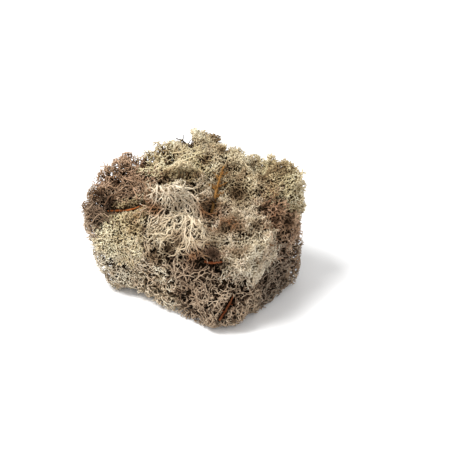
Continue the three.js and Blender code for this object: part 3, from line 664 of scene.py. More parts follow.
class Outline:
    """The clump's outer surface, as the distance out of it at each cell of a grid.

    The gaps between stems are closed in it. Its hull closes those between tufts too, and its whole
    surface is the one before creases and pits are dug.
    """

    def __init__(self, solids):
        low, high = solids.points.min(0), solids.points.max(0)
        self.origin = low - ROUND_THE_CLUMP
        self.shape = np.ceil((high - low + 2 * ROUND_THE_CLUMP) / CELL).astype(int)
        filled = self.inside(solids)
        across, _, heights = (corner + (np.arange(count) + 0.5) * CELL
                              for corner, count in zip(self.origin, self.shape))
        growth = GROWTH + RIGHT_GROWTH * np.clip(across / RIGHT_END, 0, 1)[:, None, None]
        self.hull = closed(filled, HULL_CLOSING) - growth
        loose = closed(filled, LOOSE_CLOSING) - growth
        pressed = np.clip((PRESSED_TOP - heights) / PRESSED_BLEND + 0.5, 0, 1)
        self.whole = np.maximum(loose + (self.hull - loose) * pressed, -heights)
        # The places where branches drape are found on the surface as it is so far.
        pressed = np.maximum(pressed, self.draped())
        self.whole = np.maximum(loose + (self.hull - loose) * pressed, -heights)
        self.stains_and_shade = self.spread_out(STAINS_AND_SHADE)
        # Each pit also gets painted shade, centred part way down it along the view.
        for (middle, radius, depth), way in zip(self.spread_out(PITS), rays_through(PITS)):
            inward = middle + way * depth * PIT_SHADE_DEPTH
            self.stains_and_shade.append((inward, radius * PIT_REACH, *PIT_PAINTED_SHADE))
        self.distance = smoothed(self.dug())
        self.slope = np.stack(np.gradient(self.distance, CELL), axis=3)

    def inside(self, solids):
        """The cells whose middle is in a solid, and those that hold a corner of one."""
        filled = np.zeros(self.shape, bool)
        top = self.origin[2] + self.shape[2] * CELL
        down = Vector((0, 0, -1))
        for column, row in np.ndindex(*self.shape[:2]):
            x, y = self.origin[:2] + (np.array([column, row]) + 0.5) * CELL
            heights = []
            hit = solids.tree.ray_cast(Vector((x, y, top)), down)
            while hit[0] is not None:
                heights.append(hit[0].z)
                hit = solids.tree.ray_cast(Vector((x, y, hit[0].z - 1e-3)), down)
            for upper, lower in zip(heights[::2], heights[1::2]):
                first = math.ceil((lower - self.origin[2]) / CELL - 0.5)
                last = math.floor((upper - self.origin[2]) / CELL - 0.5)
                filled[column, row, first:last + 1] = True
        corners = solids.points[solids.triangles]
        for places in (solids.points, corners.mean(1), (corners[:, 0] + corners[:, 1]) / 2):
            filled[tuple(((places - self.origin) / CELL).astype(int).T)] = True
        return filled

    def draped(self):
        """How far the surface follows the hull at each cell, from 0 to 1, by the draped places."""
        places = self.origin + (np.moveaxis(np.indices(self.shape), 0, 3) + 0.5) * CELL
        share = np.zeros(self.shape)
        for middle, radius in self.spread_out(DRAPED):
            near = nearness(places.reshape(-1, 3), middle, radius).reshape(self.shape)
            share = np.maximum(share, np.clip(2 * near, 0, 1))
        return share

    def dug(self):
        """The whole distance, with the creases, pits, notches and clearings dug into it."""
        near = np.argwhere(np.abs(self.whole) < DIG_REACH)
        places = self.origin + (near + 0.5) * CELL
        depths = creases(places)
        for marks, way in ((PITS, 1), (RISES, -1)):
            for middle, radius, depth in self.spread_out(marks):
                depths += way * depth * nearness(places, middle, radius)
        cells = tuple(near.T)
        own = self.whole[cells] + depths
        for way, (*_, radius) in zip(rays_through(NOTCHES), NOTCHES):
            own = np.maximum(own, radius - np.linalg.norm(np.cross(places - CAMERA, way), axis=1))
        for middle in self.clearings():
            own = np.maximum(own, CLEARING - np.linalg.norm(places - middle, axis=1))
        distance = self.whole.copy()
        distance[cells] = own
        return distance

    def clearings(self):
        """Places along the litter, and from there toward the camera, where no branches grow."""
        for twig in LITTER.values():
            line = smooth_line(twig.route, CLEARED_STEPS)
            for place in line[self.look_up(self.whole, line) > -DEEPEST_CLEARED]:
                for far in CLEARED_WAY:
                    yield place + BACK * far

    def spread_out(self, marks):
        """Marks with the place on the surface instead of the pixel."""
        return [(place, *mark[2:]) for place, mark in zip(self.seen_at(marks), marks)]

    def seen_at(self, marks):
        """The places on the whole surface that show at pixels."""
        ways = rays_through(marks)
        places = CAMERA + ways * (CAMERA_DISTANCE - FAR)
        for _ in range(VIEW_STEPS):
            clear = np.maximum(self.look_up(self.whole, places), 0)[:, None]
            places = places + ways * clear * VIEW_STEP
        return places

    def look_up(self, grid, places):
        """A grid's value at each place, blended from the eight nearest cells."""
        cells = np.clip((places - self.origin) / CELL - 0.5, 0, self.shape - 1.001)
        base = cells.astype(int)
        part = cells - base
        value = 0
        for corner in np.ndindex(2, 2, 2):
            share = np.prod(np.where(corner, part, 1 - part), axis=1)
            value = value + (grid[tuple((base + corner).T)].T * share).T
        return value

    def out_of(self, places):
        """How far each place is outside the outline, or inside it where negative."""
        return self.look_up(self.distance, places)

    def stained_and_shaded(self, places, shades, hues):
        """The shades and hues with the stains and the painted shade added."""
        for middle, radius, hue, shade in self.stains_and_shade:
            near = nearness(places, middle, radius)
            shades, hues = shades * (1 + shade * near), hues + hue * near
        return shades, hues

    def light_at(self, places):
        """How light it is at each place, from 0 deep inside to 1 on the whole surface."""
        depth, hull_depth = (
            np.maximum(-self.look_up(grid, places), 0) for grid in (self.whole, self.hull)
        )
        return np.exp(-depth / SHADE_DEPTH - hull_depth / HULL_SHADE_DEPTH)

    def openness(self, places, normals):
        """How open the surface is at each place, from 0 in a crease to 1 on a bump. Crowns and stems
        take it as painted light, darker in creases.
        """
        steps = [np.clip(self.out_of(places + normals * far) / far, 0, 1) for far in OPEN_STEPS]
        return np.mean(steps, axis=0)

    def normals(self, places):
        return unit(self.look_up(self.slope, places))

    def on_surface(self, places, depth=0):
        """The places moved to a depth under the outline."""
        for _ in range(SURFACE_STEPS):
            places = places - self.normals(places) * (self.out_of(places) + depth)[:, None]
        return places

    def spots(self, rng, depth):
        """Places all over the outline, at a depth under it, in a mixed order."""
        cells = np.argwhere(np.abs(self.distance + depth) < CELL * NEAR_CELLS)
        cells = cells[rng.permutation(len(cells))]
        places = self.origin + (cells + rng.uniform(0, 1, cells.shape)) * CELL
        return self.on_surface(places, depth)


# ---- crowns

VARIANTS = 14  # of a habit's crowns
CROWN_LEVELS, TIP_LEVELS = 3, 2  # of branches, in a crown and at the tip of a stem
TIP_SEED = FIRST_SEED + 20
DROOP = 0.25  # how far all branches of a crown lean to one side
DROOP_WAYS = [1, 1, 0.2]  # mostly level
LENGTH_RANGE = (0.75, 1.25)
SPREAD_RANGE = (0.7, 1.2)
FORK_PEAK = 0.8  # the height of a fork's raised end beside its radius
FOOT_WIDTH = 1.05


def forked_shape(rng, habit, lengths, radii):
    """A stem that forks three ways at the end of each branch, as one closed skin.

    Each branch grows out of one of the three faces of its parent's raised end, and the last ones
    are points.
    """
    points, along, triangles = [], [], []
    levels = len(lengths)
    droop = any_directions(rng, 1)[0] * DROOP_WAYS * DROOP

    def add_point(place, progress):
        points.append(place)
        along.append(progress)
        return len(points) - 1

    def add_ring(centre, axis, radius, toward, progress):
        first = unit(toward - axis * np.dot(toward, axis))
        second = np.cross(axis, first)
        offsets = [first * math.cos(turn) + second * math.sin(turn) for turn in THIRDS]
        return [add_point(centre + offset * radius, progress) for offset in offsets]

    def grow(base, axis, level):
        foot = np.mean([points[corner] for corner in base], axis=0)
        end = foot + axis * lengths[level] * rng.uniform(*LENGTH_RANGE)
        progress = (level + 1) / levels
        if level == levels - 1:
            tip = add_point(end, progress)
            triangles.extend((base[a], base[b], tip) for a, b in SIDES)
            return
        radius = radii[level]
        ring = add_ring(end, axis, radius, points[base[0]] - foot, progress)
        for a, b in SIDES:
            triangles.extend([(base[a], base[b], ring[b]), (base[a], ring[b], ring[a])])
        peak = add_point(end + axis * radius * FORK_PEAK, progress)
        for a, b in SIDES:
            face = (ring[a], ring[b], peak)
            if rng.random() > habit.keep[level]:
                triangles.append(face)
                continue
            outward = np.mean([points[corner] for corner in face], axis=0) - end
            outward = unit(outward - axis * np.dot(outward, axis))
            spread = habit.spread * rng.uniform(*SPREAD_RANGE)
            branch = axis * math.cos(spread) + outward * math.sin(spread)
            grow(face, unit(branch + droop + rng.normal(0, habit.uneven, 3)), level + 1)

    up = np.array([0.0, 0.0, 1.0])
    base = add_ring(np.zeros(3), up, radii[0] * FOOT_WIDTH, np.array([1.0, 0.0, 0.0]), 0)
    triangles.append((base[0], base[2], base[1]))
    grow(base, up, 0)
    return Shape(points, triangles, along)


def shapes_of(habit, levels, first_seed):
    """Variants of a habit's crown, of its last levels."""
    lengths, radii = habit.lengths[-levels:], habit.radii[1 - levels:]
    return [forked_shape(np.random.default_rng(first_seed + number), habit, lengths, radii)
            for number in range(VARIANTS)]


for one_habit in HABITS.values():
    one_habit.crowns = shapes_of(one_habit, CROWN_LEVELS, FIRST_SEED)
    one_habit.tips = shapes_of(one_habit, TIP_LEVELS, TIP_SEED)


def place_mixed(growth, shapes, at, axes, sizes, shades, hues, rng):
    """Crowns of mixed shapes, each turned at random about its axis."""
    turns = frames(axes, rng.uniform(0, 2 * np.pi, len(at)))
    kinds = rng.integers(0, len(shapes), len(at))
    for kind, shape in enumerate(shapes):
        mine = kinds == kind
        growth.place(shape, *(values[mine] for values in (at, turns, sizes, shades, hues)))


# ---- spots where crowns grow

# How deep under the outline the crowns of each layer end, their gap beside the habit's, and how
# bright they are painted: the deeper layer is darker, as painted shade.
LAYERS = ((0.5, 1, 1), (3.4, 1.3, 0.75))
OWNER_STRAY = 2.5  # how far tufts mix at their borders
PATCH_SIZE = 14  # of the patches in which a tuft's colour changes
PATCH_CONTRAST = 2


class Spots:
    """Where one tuft's crowns end: their places, normals, how open they are, which sets their painted
    light, and their patches' tones, which run from about -1 to 1."""

    def __init__(self, outline, places, gap):
        self.places = places[thinned(places, gap)]
        self.normals = outline.normals(self.places)
        self.sky_light = outline.openness(self.places, self.normals)
        tones = [noise.noise(Vector(place / PATCH_SIZE)) for place in self.places]
        self.tones = np.array(tones) * PATCH_CONTRAST


def owners_of(solids, places, rng):
    """The tuft that each place belongs to, by the nearest solid, mixed a little at the borders."""
    strayed = places + rng.normal(0, OWNER_STRAY / 2, places.shape)
    return np.array([solids.owners[solids.tree.find_nearest(Vector(p))[2]] for p in strayed])


def hand_to_fan(places, owners, outline, names):
    """The fan owns whatever lies in its area in view, and its fringe the lower part of that."""
    pixels = pixels_of(places)
    covered = np.flatnonzero(in_polygon(pixels, FAN_AREA))
    seen = outline.seen_at(pixels[covered])
    near = np.linalg.norm(seen - places[covered], axis=1) < FAN_THICKNESS
    for number in covered[near]:
        fringe = pixels[number, 1] > FRINGE_TOP
        owners[number] = names.index("tuft_fan_fringe" if fringe else "tuft_fan")


# ---- crowns on their stems

OWN_HUE = 0.82  # where a colour has its usual cast
CROWN_STRAY = 0.22  # of a crown's axis
CROWN_SIZES = (0.8, 1.15)
BRANCH_RISE = 0.9  # how much of a branch's length counts for its crown's height
CROWN_SINK = 0.85  # how much of its height is under its spot
CROWN_HUES = (0.2, 0.12)  # by its patch and at random
CROWN_PAINTED_LIGHT = (0.7, 0.5)  # the tone in a crease, and the painted light that full openness adds
CROWN_TONE_RANGE = (0.85, 1.05)
CROWN_SHADES = (0.6, 0.65)  # half way to its root and at its foot, beside what follows it
LONGEST_ROOT = 8
ROOT_LEAN = 0.5  # how far a root follows its crown's axis
ROOT_STRAY = 0.2
ROOT_SINK = 0.8  # into the core
ROOT_BEND = 0.5
ROOT_OVERLAP = 0.6  # into the crown
ROOT_WIDTHS = np.array([1.15, 1.05, 0.95])  # beside the crown's stem, from root to crown


def crown_height(habit):
    """How far a crown's tips reach above its foot."""
    reach = habit.lengths[0]
    for length in habit.lengths[1:]:
        reach += length * math.cos(habit.spread) * BRANCH_RISE
    return reach


def roots_of(feet, inward, cores):
    """Where the stems of crowns meet a core, or end on the way to it."""
    roots = feet.copy()
    for root, way in zip(roots, inward):
        hit = cores.tree.ray_cast(Vector(root), Vector(way), FAR)
        if hit[0] is None:
            hit = cores.tree.find_nearest(Vector(root))
        course = np.array(hit[0]) + way * ROOT_SINK - root
        root += course * min(1, LONGEST_ROOT / np.linalg.norm(course))
    return roots


def add_crowns(growth, spots, cores, habit, lean, layer_light, rng):
    """Forked crowns with their tips at the spots, each on a stem that rises from a core."""
    count = len(spots.places)
    way = spots.normals * habit.upright + np.array(lean) * (1 - habit.upright)
    axes = unit(way + rng.normal(0, CROWN_STRAY, (count, 3)))
    sizes = rng.uniform(*CROWN_SIZES, count)
    feet = spots.places - axes * (crown_height(habit) * sizes * CROWN_SINK)[:, None]
    hues = OWN_HUE + CROWN_HUES[0] * spots.tones + rng.normal(0, CROWN_HUES[1], count)
    # Painted light: crowns in creases are darker, those on bumps lighter.
    high = (CROWN_PAINTED_LIGHT[0] + CROWN_PAINTED_LIGHT[1] * spots.sky_light) * layer_light * habit.tone
    high = high * rng.uniform(*CROWN_TONE_RANGE, count)
    low = CROWN_SHADES[1] * high
    place_mixed(growth, habit.crowns, feet, axes, sizes, np.stack([low, high], 1), hues, rng)
    stray = rng.normal(0, ROOT_STRAY, (count, 3))
    roots = roots_of(feet, unit(-spots.normals - axes * ROOT_LEAN + stray), cores)
    bends = (roots + feet) / 2 + rng.normal(0, ROOT_BEND, (count, 3))
    lines = np.stack([roots, bends, feet + axes * ROOT_OVERLAP], axis=1)
    shades = np.stack([0 * low, low * CROWN_SHADES[0], low], axis=1)
    growth.tubes(lines, habit.radii[0] * ROOT_WIDTHS[None] * sizes[:, None], shades, hues)


# ---- stems that lie on the surface

TREE_LEVELS = 3  # parts of a stem from foot to tip, with a fork after each
SEGMENT_STEPS = 3
SEGMENT_SHRINK = 0.85  # each part of a stem is shorter than the one before it
RADIUS_SHRINK = 0.82
SEGMENT_RANGE = (0.7, 1.25)
FORK_RANGE = (0.5, 1.4)
WEAVE = 0.5  # how far a stem's parts run over and under each other
SETTLING = 0.5  # how much of its height over its depth a stem loses at a step
MOST_SETTLED = 0.9
TREE_PAINTED_LIGHT = (0.75, 0.4, 0.08)  # the tone in a crease, the painted light that full openness adds, and painted shade by depth
TREE_HUES = (0.25, 0.15)  # by its patch and at random
TREE_RADII = (0.8, 1.2)
STEM_LIGHT = np.linspace(0.72, 0.8, SEGMENT_STEPS + 1)  # of its tone along its first part
LEVEL_LIGHT = 0.08  # lighter from part to part
TIP_SIZES = (0.5, 0.8)  # of a crown
TIP_AXIS = (0.7, 0.5)  # along its stem and out of the surface
TIP_STRAY = 0.3
TIP_TONE = 1.25  # beside its stem


class Stems(SimpleNamespace):
    """Growing ends of the stems that lie over a tuft: one row for each."""

    def forked(self, normals, angle, rng):
        """Two ends for each, which part sideways on the surface."""
        count = len(self.at)
        side = np.cross(normals, self.heading)
        turns = angle * rng.uniform(*FORK_RANGE, (2, count))[..., None]
        headings = [self.heading * np.cos(turn) + side * np.sin(turn) * sign
                    for turn, sign in zip(turns, (1, -1))]
        twice = {name: np.concatenate([column, column]) for name, column in vars(self).items()}
        ends = Stems(**twice)
        ends.heading = np.concatenate(headings)
        ends.depth = ends.depth + rng.normal(0, WEAVE, 2 * count)
        return ends


def add_trees(growth, spots, outline, habit, lean, rng):
    """Stems that lie over the tuft's surface, fork again and again, and end in small tips."""
    count = round(habit.trees * len(spots.places))
    starts = rng.integers(0, len(spots.places), count)
    places, normals = spots.places[starts], spots.normals[starts]
    way = places - FAN_ROOT if habit is HABITS["fan"] else np.array(lean)
    heading = unit(way) * habit.comb + any_directions(rng, count) * (1 - habit.comb)
    depth = rng.uniform(0, habit.depth, count)
    # Painted light: stems in creases and deeper under the outline are darker.
    dim, light, depth_shade = TREE_PAINTED_LIGHT
    cast, stray = TREE_HUES
    stems = Stems(
        at=places - normals * depth[:, None], heading=heading, depth=depth,
        radius=habit.stem_radius * rng.uniform(*TREE_RADII, count),
        tone=dim + light * spots.sky_light[starts] - depth_shade * depth,
        hue=OWN_HUE + cast * spots.tones[starts] + rng.normal(0, stray, count),
    )
    grow_tree(growth, stems, outline, habit, TREE_LEVELS, rng)


def grow_tree(growth, stems, outline, habit, levels, rng):
    """Each stem grows part by part, with a fork after each, to its tips."""
    for level in range(levels):
        grow_part(growth, stems, outline, habit, level, rng)
        if level < levels - 1:
            stems = stems.forked(outline.normals(stems.at), habit.fork, rng)
    spread = rng.normal(0, TIP_STRAY, (len(stems.at), 3))
    along, out = TIP_AXIS
    axes = unit(stems.heading * along + outline.normals(stems.at) * out + spread)
    sizes = rng.uniform(*TIP_SIZES, len(stems.at))
    shades = np.stack([stems.tone, stems.tone * TIP_TONE], 1)
    place_mixed(growth, habit.tips, stems.at, axes, sizes, shades, stems.hue, rng)


def grow_part(growth, stems, outline, habit, level, rng):
    """One part of each stem, along the surface and on toward its heading."""
    count = len(stems.at)
    length = habit.segment * SEGMENT_SHRINK ** level * rng.uniform(*SEGMENT_RANGE, (count, 1))
    line = [stems.at]
    for _ in range(SEGMENT_STEPS):
        normals = outline.normals(line[-1])
        level_heading = stems.heading - normals * (stems.heading * normals).sum(1, keepdims=True)
        step = unit(level_heading) + rng.normal(0, habit.wander, (count, 3))
        place = line[-1] + unit(step) * length / SEGMENT_STEPS
        rise = (outline.out_of(place) + stems.depth) * SETTLING
        fall = np.clip(rise, -MOST_SETTLED, MOST_SETTLED)[:, None]
        line.append(place - outline.normals(place) * fall)
    radii = stems.radius[:, None] * np.linspace(1, RADIUS_SHRINK, SEGMENT_STEPS + 1)[None]
    shades = stems.tone[:, None] * (STEM_LIGHT + LEVEL_LIGHT * level)[None]
    growth.tubes(np.stack(line, axis=1), radii, shades, stems.hue)
    stems.heading = unit(line[-1] - line[-2])
    stems.at = line[-1]
    stems.radius = stems.radius * RADIUS_SHRINK


# ---- stems in full view

LAID_TAPER = 0.7  # of the radius, from foot to tip
LAID_STEPS = 5  # between two of its pixels
LAID_LEAST = 3  # a run of no more places than this is left out
LAID_DEPTHS = (-2.2, 0.4)  # under the outline
LAID_LEAP = 6  # a stem is cut where it would have to span more than this at a step
LAID_STRAY = 3  # farther off the clump there is nothing that a stem can lie on
LAID_WOBBLE = 0.12
LAID_RADII = (0.8, 1.1)
LAID_TONES = (0.85, 1.1)
LAID_DEPTH_SHADE = 0.06  # painted shade, by depth under the outline
LAID_HUES = (0.6, 1)
LAID_SIDES = 5
BRANCH_GAP = 4  # between two branches of a stem
BRANCH_ANGLE = 0.7
BRANCH_ANGLES = (0.6, 1.4)  # beside that
BRANCH_DEPTHS = 0.3
BRANCH_SHARE = 0.85  # of its stem's radius
BRANCH_HUES = (0.7, 1)
BRANCH_LEVELS = 2


def laid_lines(routes, outline, is_own):
    """The courses of stems in full view, cut where the view leaps from one surface to another."""
    for route in routes:
        places = outline.seen_at(smooth_line(np.reshape(route, (-1, 2)), LAID_STEPS))
        lying = np.abs(outline.look_up(outline.whole, places)) < LAID_STRAY
        places = outline.on_surface(places)
        kept = lying & is_own(places)
        leaps = np.linalg.norm(np.diff(places, axis=0), axis=1) > LAID_LEAP
        cuts = np.flatnonzero(leaps | (kept[1:] != kept[:-1])) + 1
        for run in np.split(np.arange(len(places)), cuts):
            after = run[-1] + 1
            if kept[run[0]] and len(run) > LAID_LEAST:
                joined = after < len(places) and not leaps[run[-1]]
                yield places[run[0]:after + joined]


def add_laid_stems(growth, laid, outline, is_own, habit, rng):
    """The stems in full view, with forked branches at both sides."""
    routes, radius, tone = laid
    branches = []
    for line in laid_lines(routes, outline, is_own):
        line[1:-1] = (line[:-2] + line[1:-1] * 2 + line[2:]) / 4
        normals = outline.normals(line)
        under = rng.uniform(*LAID_DEPTHS)
        line = line - normals * under + rng.normal(0, LAID_WOBBLE, line.shape)
        radii = radius * np.linspace(1, LAID_TAPER, len(line)) * rng.uniform(*LAID_RADII)
        # Painted shade: a stem that lies deeper is darker.
        tones = np.full(len(line), tone * rng.uniform(*LAID_TONES) - LAID_DEPTH_SHADE * under)
        hue = rng.uniform(*LAID_HUES, 1)
        growth.tubes(line[None], radii[None], tones[None], hue, sides=LAID_SIDES)
        count = round(np.linalg.norm(np.diff(line, axis=0), axis=1).sum() / BRANCH_GAP)
        for number, place in enumerate(np.linspace(1, len(line) - 2, count).astype(int)):
            along = unit(line[place + 1] - line[place - 1])
            side = np.cross(normals[place], along) * (1 if number % 2 else -1)
            turn = BRANCH_ANGLE * rng.uniform(*BRANCH_ANGLES)
            heading = along * math.cos(turn) + side * math.sin(turn)
            branches.append((line[place], heading, under + rng.normal(0, BRANCH_DEPTHS)))
    at, heading, depth = map(np.array, zip(*branches))
    radii = radius * BRANCH_SHARE * rng.uniform(*LAID_RADII, len(at))
    tones, hues = np.full(len(at), tone), rng.uniform(*BRANCH_HUES, len(at))
    stems = Stems(at=at, heading=heading, depth=depth, radius=radii, tone=tones, hue=hues)
    grow_tree(growth, stems, outline, habit, BRANCH_LEVELS, rng)


# ---- whole tufts

CORE_SEED, TUFT_SEED = FIRST_SEED + 20, FIRST_SEED + 50
CORE_SHADES, CORE_HUE = (0, 0.15), 0.5
STICK_LENGTHS = (5, 11)
STICK_RADIUS = 0.38
STICK_RADII = (0.7, 1.1)
STICK_TAPER = np.array([[1, 0.85, 0.5]])
STICK_RISE = 0.6  # how far it points out of the surface
STICK_SINK = 0.6  # how much of it lies before its spot
STICK_BEND = 0.25
STICK_SHADE = 0.12
LOWEST = 0.02  # above the ground


def add_sticks(growth, spots, count, rng):
    """Thin dark sticks with a kink in their middle."""
    starts = rng.integers(0, len(spots.places), count)
    heading = unit(spots.normals[starts] * STICK_RISE + any_directions(rng, count))
    length = rng.uniform(*STICK_LENGTHS, (count, 1))
    foot = spots.places[starts] - heading * length * STICK_SINK
    kink = foot + heading * length / 2
    end = kink + unit(heading + rng.normal(0, STICK_BEND, (count, 3))) * length / 2
    radii = STICK_RADIUS * rng.uniform(*STICK_RADII, (count, 1)) * STICK_TAPER
    shades = np.full((count, 3), STICK_SHADE)
    growth.tubes(np.stack([foot, kink, end], axis=1), radii, shades, np.zeros(count))


def pressed_in(points, outline, slack):
    """Points past the clump's outline are drawn back to it, as a wall would press them."""
    excess = np.maximum(outline.out_of(points) - slack, 0)
    points = points - outline.normals(points) * excess[:, None]
    points[:, 2] = np.maximum(points[:, 2], LOWEST)
    return points


def build_tuft(name, layers, core, cores, outline, is_own, seed):
    habit_name, colour, lean = TUFTS[name]
    habit = HABITS[habit_name]
    rng = np.random.default_rng(seed)
    growth = Growth()
    growth.add(*core, rng.uniform(*CORE_SHADES, len(core[0])), CORE_HUE)
    # Each layer's crowns take its painted light, the deeper layer darker.
    for spots, (_, _, layer_light) in zip(layers, LAYERS):
        add_crowns(growth, spots, cores, habit, lean, layer_light, rng)
    add_trees(growth, layers[0], outline, habit, lean, rng)
    if name in LAID_STEMS:
        add_laid_stems(growth, LAID_STEMS[name], outline, is_own, habit, rng)
    if habit.sticks:
        add_sticks(growth, layers[0], habit.sticks, rng)
    points, triangles, shades, hues = growth.arrays()
    points = pressed_in(points, outline, habit.slack)
    # Painted shade: darker with depth under the surface and the hull, in the pits and in the darkened
    # gaps.
    shades, hues = outline.stained_and_shaded(points, shades * outline.light_at(points), hues)
    arrays = points, triangles, shades, hues
    piece = new_piece(name.replace("tuft", "lichen"), arrays, colour)
    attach(piece, "root")
    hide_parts(name)


def laid_owner(meshes, name):
    """A test of which places of the laid stems belong to a tuft: the fan's are shared by two."""
    fans = ["tuft_fan", "tuft_fan_fringe"]
    if name not in fans:
        return lambda places: np.full(len(places), True)
    fans.remove(name)
    own, other = tree_of(*meshes[name]), tree_of(*meshes[fans[0]])

    def is_own(places):
        spots = [Vector(place) for place in places]
        return np.array([own.find_nearest(s)[3] <= other.find_nearest(s)[3] for s in spots])

    return is_own


def build_tufts():
    names = list(TUFTS)
    meshes = {name: node_triangles(name) for name in names}
    solids = Joined(list(meshes.values()))
    outline = Outline(solids)
    core_meshes = [core_of(*mesh, outline, np.random.default_rng(CORE_SEED + number))
                   for number, mesh in enumerate(meshes.values())]
    cores = Joined(core_meshes)
    rng = np.random.default_rng(FIRST_SEED)
    spread = []
    for depth, gap_share, _ in LAYERS:
        places = outline.spots(rng, depth)
        owners = owners_of(solids, places, rng)
        hand_to_fan(places, owners, outline, names)
        spread.append((places, owners, gap_share))
    for number, name in enumerate(names):
        gap = HABITS[TUFTS[name][0]].gap
        layers = [Spots(outline, places[owners == number], gap * gap_share)
                  for places, owners, gap_share in spread]
        build_tuft(name, layers, core_meshes[number], cores, outline, laid_owner(meshes, name),
                   TUFT_SEED + number)


# ---- litter in detail

LITTER_SEED = FIRST_SEED + 200
ROUTE_STEPS = 5
BARK_SIDES = 7
BARK_WOBBLE = 0.12
BARK_RADII = (0.88, 1.12)
BARK_SHADES = (0.4, 0.8)
BARK_HUES = 0.1
TWIGS_FROM, TWIGS_OVER = 0.15, 0.7  # where side twigs start, and over what share of the line
TWIG_RADII = (0.42, 0.24)
TWIG_STEPS = 3
TWIG_LEAN, TWIG_BEND = 0.55, 0.35  # toward the line's tip, and once more from its middle on
TWIG_STRAY = 0.15
TWIG_FIRST, TWIG_LOSS = 1.15, 0.7  # its length at the line's foot, and what is lost to the tip
NEEDLE_LEAN = 0.8
NEEDLE_LENGTHS = (1.8, 3.2)
NEEDLE_MIDDLE = (0.11, 0.4)  # where it is thickest: its radius, and how far along it is
NEEDLE_SHADES = (0.3, 0.8)
NEEDLE_HUES = 0.15


def needle_shape():
    """A three-sided needle of length 1, thickest in its middle."""
    radius, height = NEEDLE_MIDDLE
    middle = [(math.cos(turn) * radius, math.sin(turn) * radius, height) for turn in THIRDS]
    faces = [(0, 2, 1), (0, 3, 2), (0, 1, 3), (4, 1, 2), (4, 2, 3), (4, 3, 1)]
    return Shape([(0, 0, 0), *middle, (0, 0, 1)], faces, [0, 0.5, 0.5, 0.5, 1])


def add_bark(growth, line, radii, hue, rng):
    """A round twig along a line, uneven as bark is."""
    line = line + rng.normal(0, BARK_WOBBLE, line.shape) * radii.mean()
    radii = radii * rng.uniform(*BARK_RADII, len(radii))
    shades = rng.uniform(*BARK_SHADES, len(line))
    hues = hue + rng.normal(0, BARK_HUES, 1)
    growth.tubes(line[None], radii[None], shades[None], hues, sides=BARK_SIDES)


def side_twigs(twig, line, rng):
    """The lines of the side twigs, in turn to either side, shorter toward the tip."""
    lines = []
    for number in range(twig.twigs):
        share = TWIGS_FROM + TWIGS_OVER * (number + 0.5) / twig.twigs
        place = round(share * (len(line) - 1))
        along = unit(line[place] - line[place - 1])
        aside = unit(np.cross(along, BACK)) * (1 if number % 2 else -1)
        way = unit(along * TWIG_LEAN + aside + rng.normal(0, TWIG_STRAY, 3))
        length = twig.twig_length * (TWIG_FIRST - TWIG_LOSS * share)
        bend = line[place] + way * length / 2
        tip = bend + unit(way + along * TWIG_BEND) * length / 2
        lines.append(smooth_line([line[place], bend, tip], TWIG_STEPS))
    return lines


def add_needles(growth, count, stems, hue, rng):
    """Needles all over a twig's stems, at random places that lean toward the tips."""
    reach = np.array([np.linalg.norm(stem[-1] - stem[0]) for stem in stems])
    chosen = [stems[number] for number in rng.choice(len(stems), count, p=reach / reach.sum())]
    steps = [rng.integers(0, len(stem) - 1) for stem in chosen]
    starts, ends = (np.array([stem[step + after] for stem, step in zip(chosen, steps)])
                    for after in (0, 1))
    parts = rng.uniform(0, 1, (count, 1))
    feet = starts * (1 - parts) + ends * parts
    ways = unit(unit(ends - starts) * NEEDLE_LEAN + any_directions(rng, count))
    turns = frames(ways, rng.uniform(0, 6, count))
    lengths = rng.uniform(*NEEDLE_LENGTHS, count)
    shades = rng.uniform(*NEEDLE_SHADES, (count, 2))
    hues = hue + rng.normal(0, NEEDLE_HUES, count)
    growth.place(needle_shape(), feet, turns, lengths, shades, hues)


def build_litter():
    for number, (name, twig) in enumerate(LITTER.items()):
        rng = np.random.default_rng(LITTER_SEED + number)
        growth = Growth()
        line = smooth_line(twig.route, ROUTE_STEPS)
        add_bark(growth, line, np.linspace(*twig.radii, len(line)), twig.hue, rng)
        twigs = side_twigs(twig, line, rng)
        for side in twigs:
            add_bark(growth, side, np.linspace(*TWIG_RADII, len(side)), twig.hue, rng)
        if twig.needles:
            add_needles(growth, twig.needles, [line] + twigs, twig.hue, rng)
        piece = new_piece(name.replace("litter", "forest"), growth.arrays(), twig.colour)
        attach(piece, "root")
        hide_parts(name)


# ---- materials

ROOT_SHADE, BODY_SHADE, TIP_SHADE = 0.13, 0.39, 0.86


def colour_of(code):
    """A colour from its sRGB hex code, as Blender's linear numbers."""
    numbers = [int(code[place:place + 2], 16) / 255 for place in (0, 2, 4)]
    linear = [n / 12.92 if n <= 0.04045 else ((n + 0.055) / 1.055) ** 2.4 for n in numbers]
    return (*linear, 1)


def attribute_node(nodes, name):
    node = nodes.new("ShaderNodeAttribute")
    node.attribute_name = name
    return node.outputs["Fac"]


def shade_ramp(nodes, links, root, body, tip):
    ramp = nodes.new("ShaderNodeValToRGB")
    elements = ramp.color_ramp.elements
    elements[0].position, elements[0].color = 0, colour_of(DEEP_SHADE_COLOUR)
    elements[1].position, elements[1].color = TIP_SHADE, colour_of(tip)
    elements.new(ROOT_SHADE).color = colour_of(root)
    elements.new(BODY_SHADE).color = colour_of(body)
    links.new(attribute_node(nodes, "shade"), ramp.inputs["Fac"])
    return ramp.outputs["Color"]


def new_material(name, roughness):
    material = bpy.data.materials.new(name)
    material.use_nodes = True
    surface = material.node_tree.nodes["Principled BSDF"].inputs
    surface["Roughness"].default_value = roughness
    return material, surface


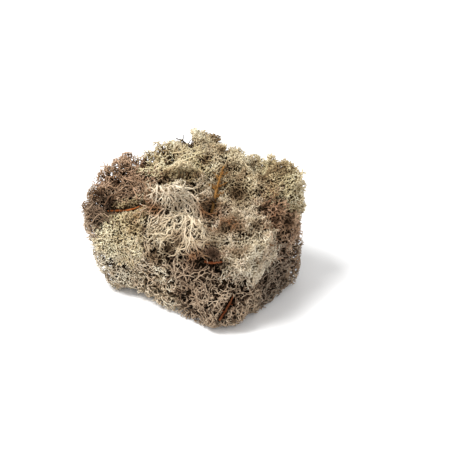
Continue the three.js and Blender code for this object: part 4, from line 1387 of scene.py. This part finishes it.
def grown_material(colour):
    """Dry matt lichen or bark: dark at a branch's root and in painted shade, paler to its tip, with
    two casts.
    """
    name = colour + "_branches"
    if name in bpy.data.materials:
        return bpy.data.materials[name]
    material, surface = new_material(name, 1)
    surface["Specular IOR Level"].default_value = 0
    nodes, links = material.node_tree.nodes, material.node_tree.links
    root, brown_body, brown_tip, pale_body, pale_tip = COLOURS[colour]
    blend = nodes.new("ShaderNodeMix")
    blend.data_type = "RGBA"
    factor, brown, pale = (
        next(i for i in blend.inputs if i.identifier == name)
        for name in ("Factor_Float", "A_Color", "B_Color")
    )
    links.new(attribute_node(nodes, "hue"), factor)
    links.new(shade_ramp(nodes, links, root, brown_body, brown_tip), brown)
    links.new(shade_ramp(nodes, links, root, pale_body, pale_tip), pale)
    result = next(o for o in blend.outputs if o.identifier == "Result_Color")
    links.new(result, surface["Base Color"])
    return material


# ---- light and floor

FLOOR_SIDE = 6000
FLOOR_COLOUR = (0.93, 0.93, 0.93, 1)
FLOOR_ROUGHNESS = 0.8
WORLD_STRENGTH = 0.8
LIT_PLACE = (0, 0, 40)
# Each light's place, size and power.
LIGHTS = {"key": ((-250, -350, 900), 400, 11), "fill": ((800, -700, 500), 700, 2)}


def add_floor():
    mesh = bpy.data.meshes.new("floor")
    half = FLOOR_SIDE / 2 * MM
    corners = [(-half, -half, 0), (half, -half, 0), (half, half, 0), (-half, half, 0)]
    mesh.from_pydata(corners, [], [(0, 1, 2, 3)])
    material, surface = new_material("floor", FLOOR_ROUGHNESS)
    surface["Base Color"].default_value = FLOOR_COLOUR
    mesh.materials.append(material)
    floor = new_object("floor", mesh)


def add_light(name, place, size, power):
    """A square soft light that faces the clump."""
    data = bpy.data.lights.new(name, "AREA")
    data.shape = "SQUARE"
    data.size = size * MM
    data.energy = power
    light = new_object(name, data)
    light.location = Vector(place) * MM
    way = light.location - Vector(LIT_PLACE) * MM
    light.rotation_euler = way.to_track_quat("Z", "Y").to_euler()


def add_studio():
    world = bpy.data.worlds.new("studio")
    world.use_nodes = True
    background = world.node_tree.nodes["Background"]
    background.inputs["Color"].default_value = (1, 1, 1, 1)
    background.inputs["Strength"].default_value = WORLD_STRENGTH
    bpy.context.scene.world = world
    bpy.context.scene.view_settings.view_transform = "Standard"
    add_floor()
    for name, values in LIGHTS.items():
        add_light(name, *values)


# ---- everything

add_camera()
add_studio()
build_tufts()
build_litter()
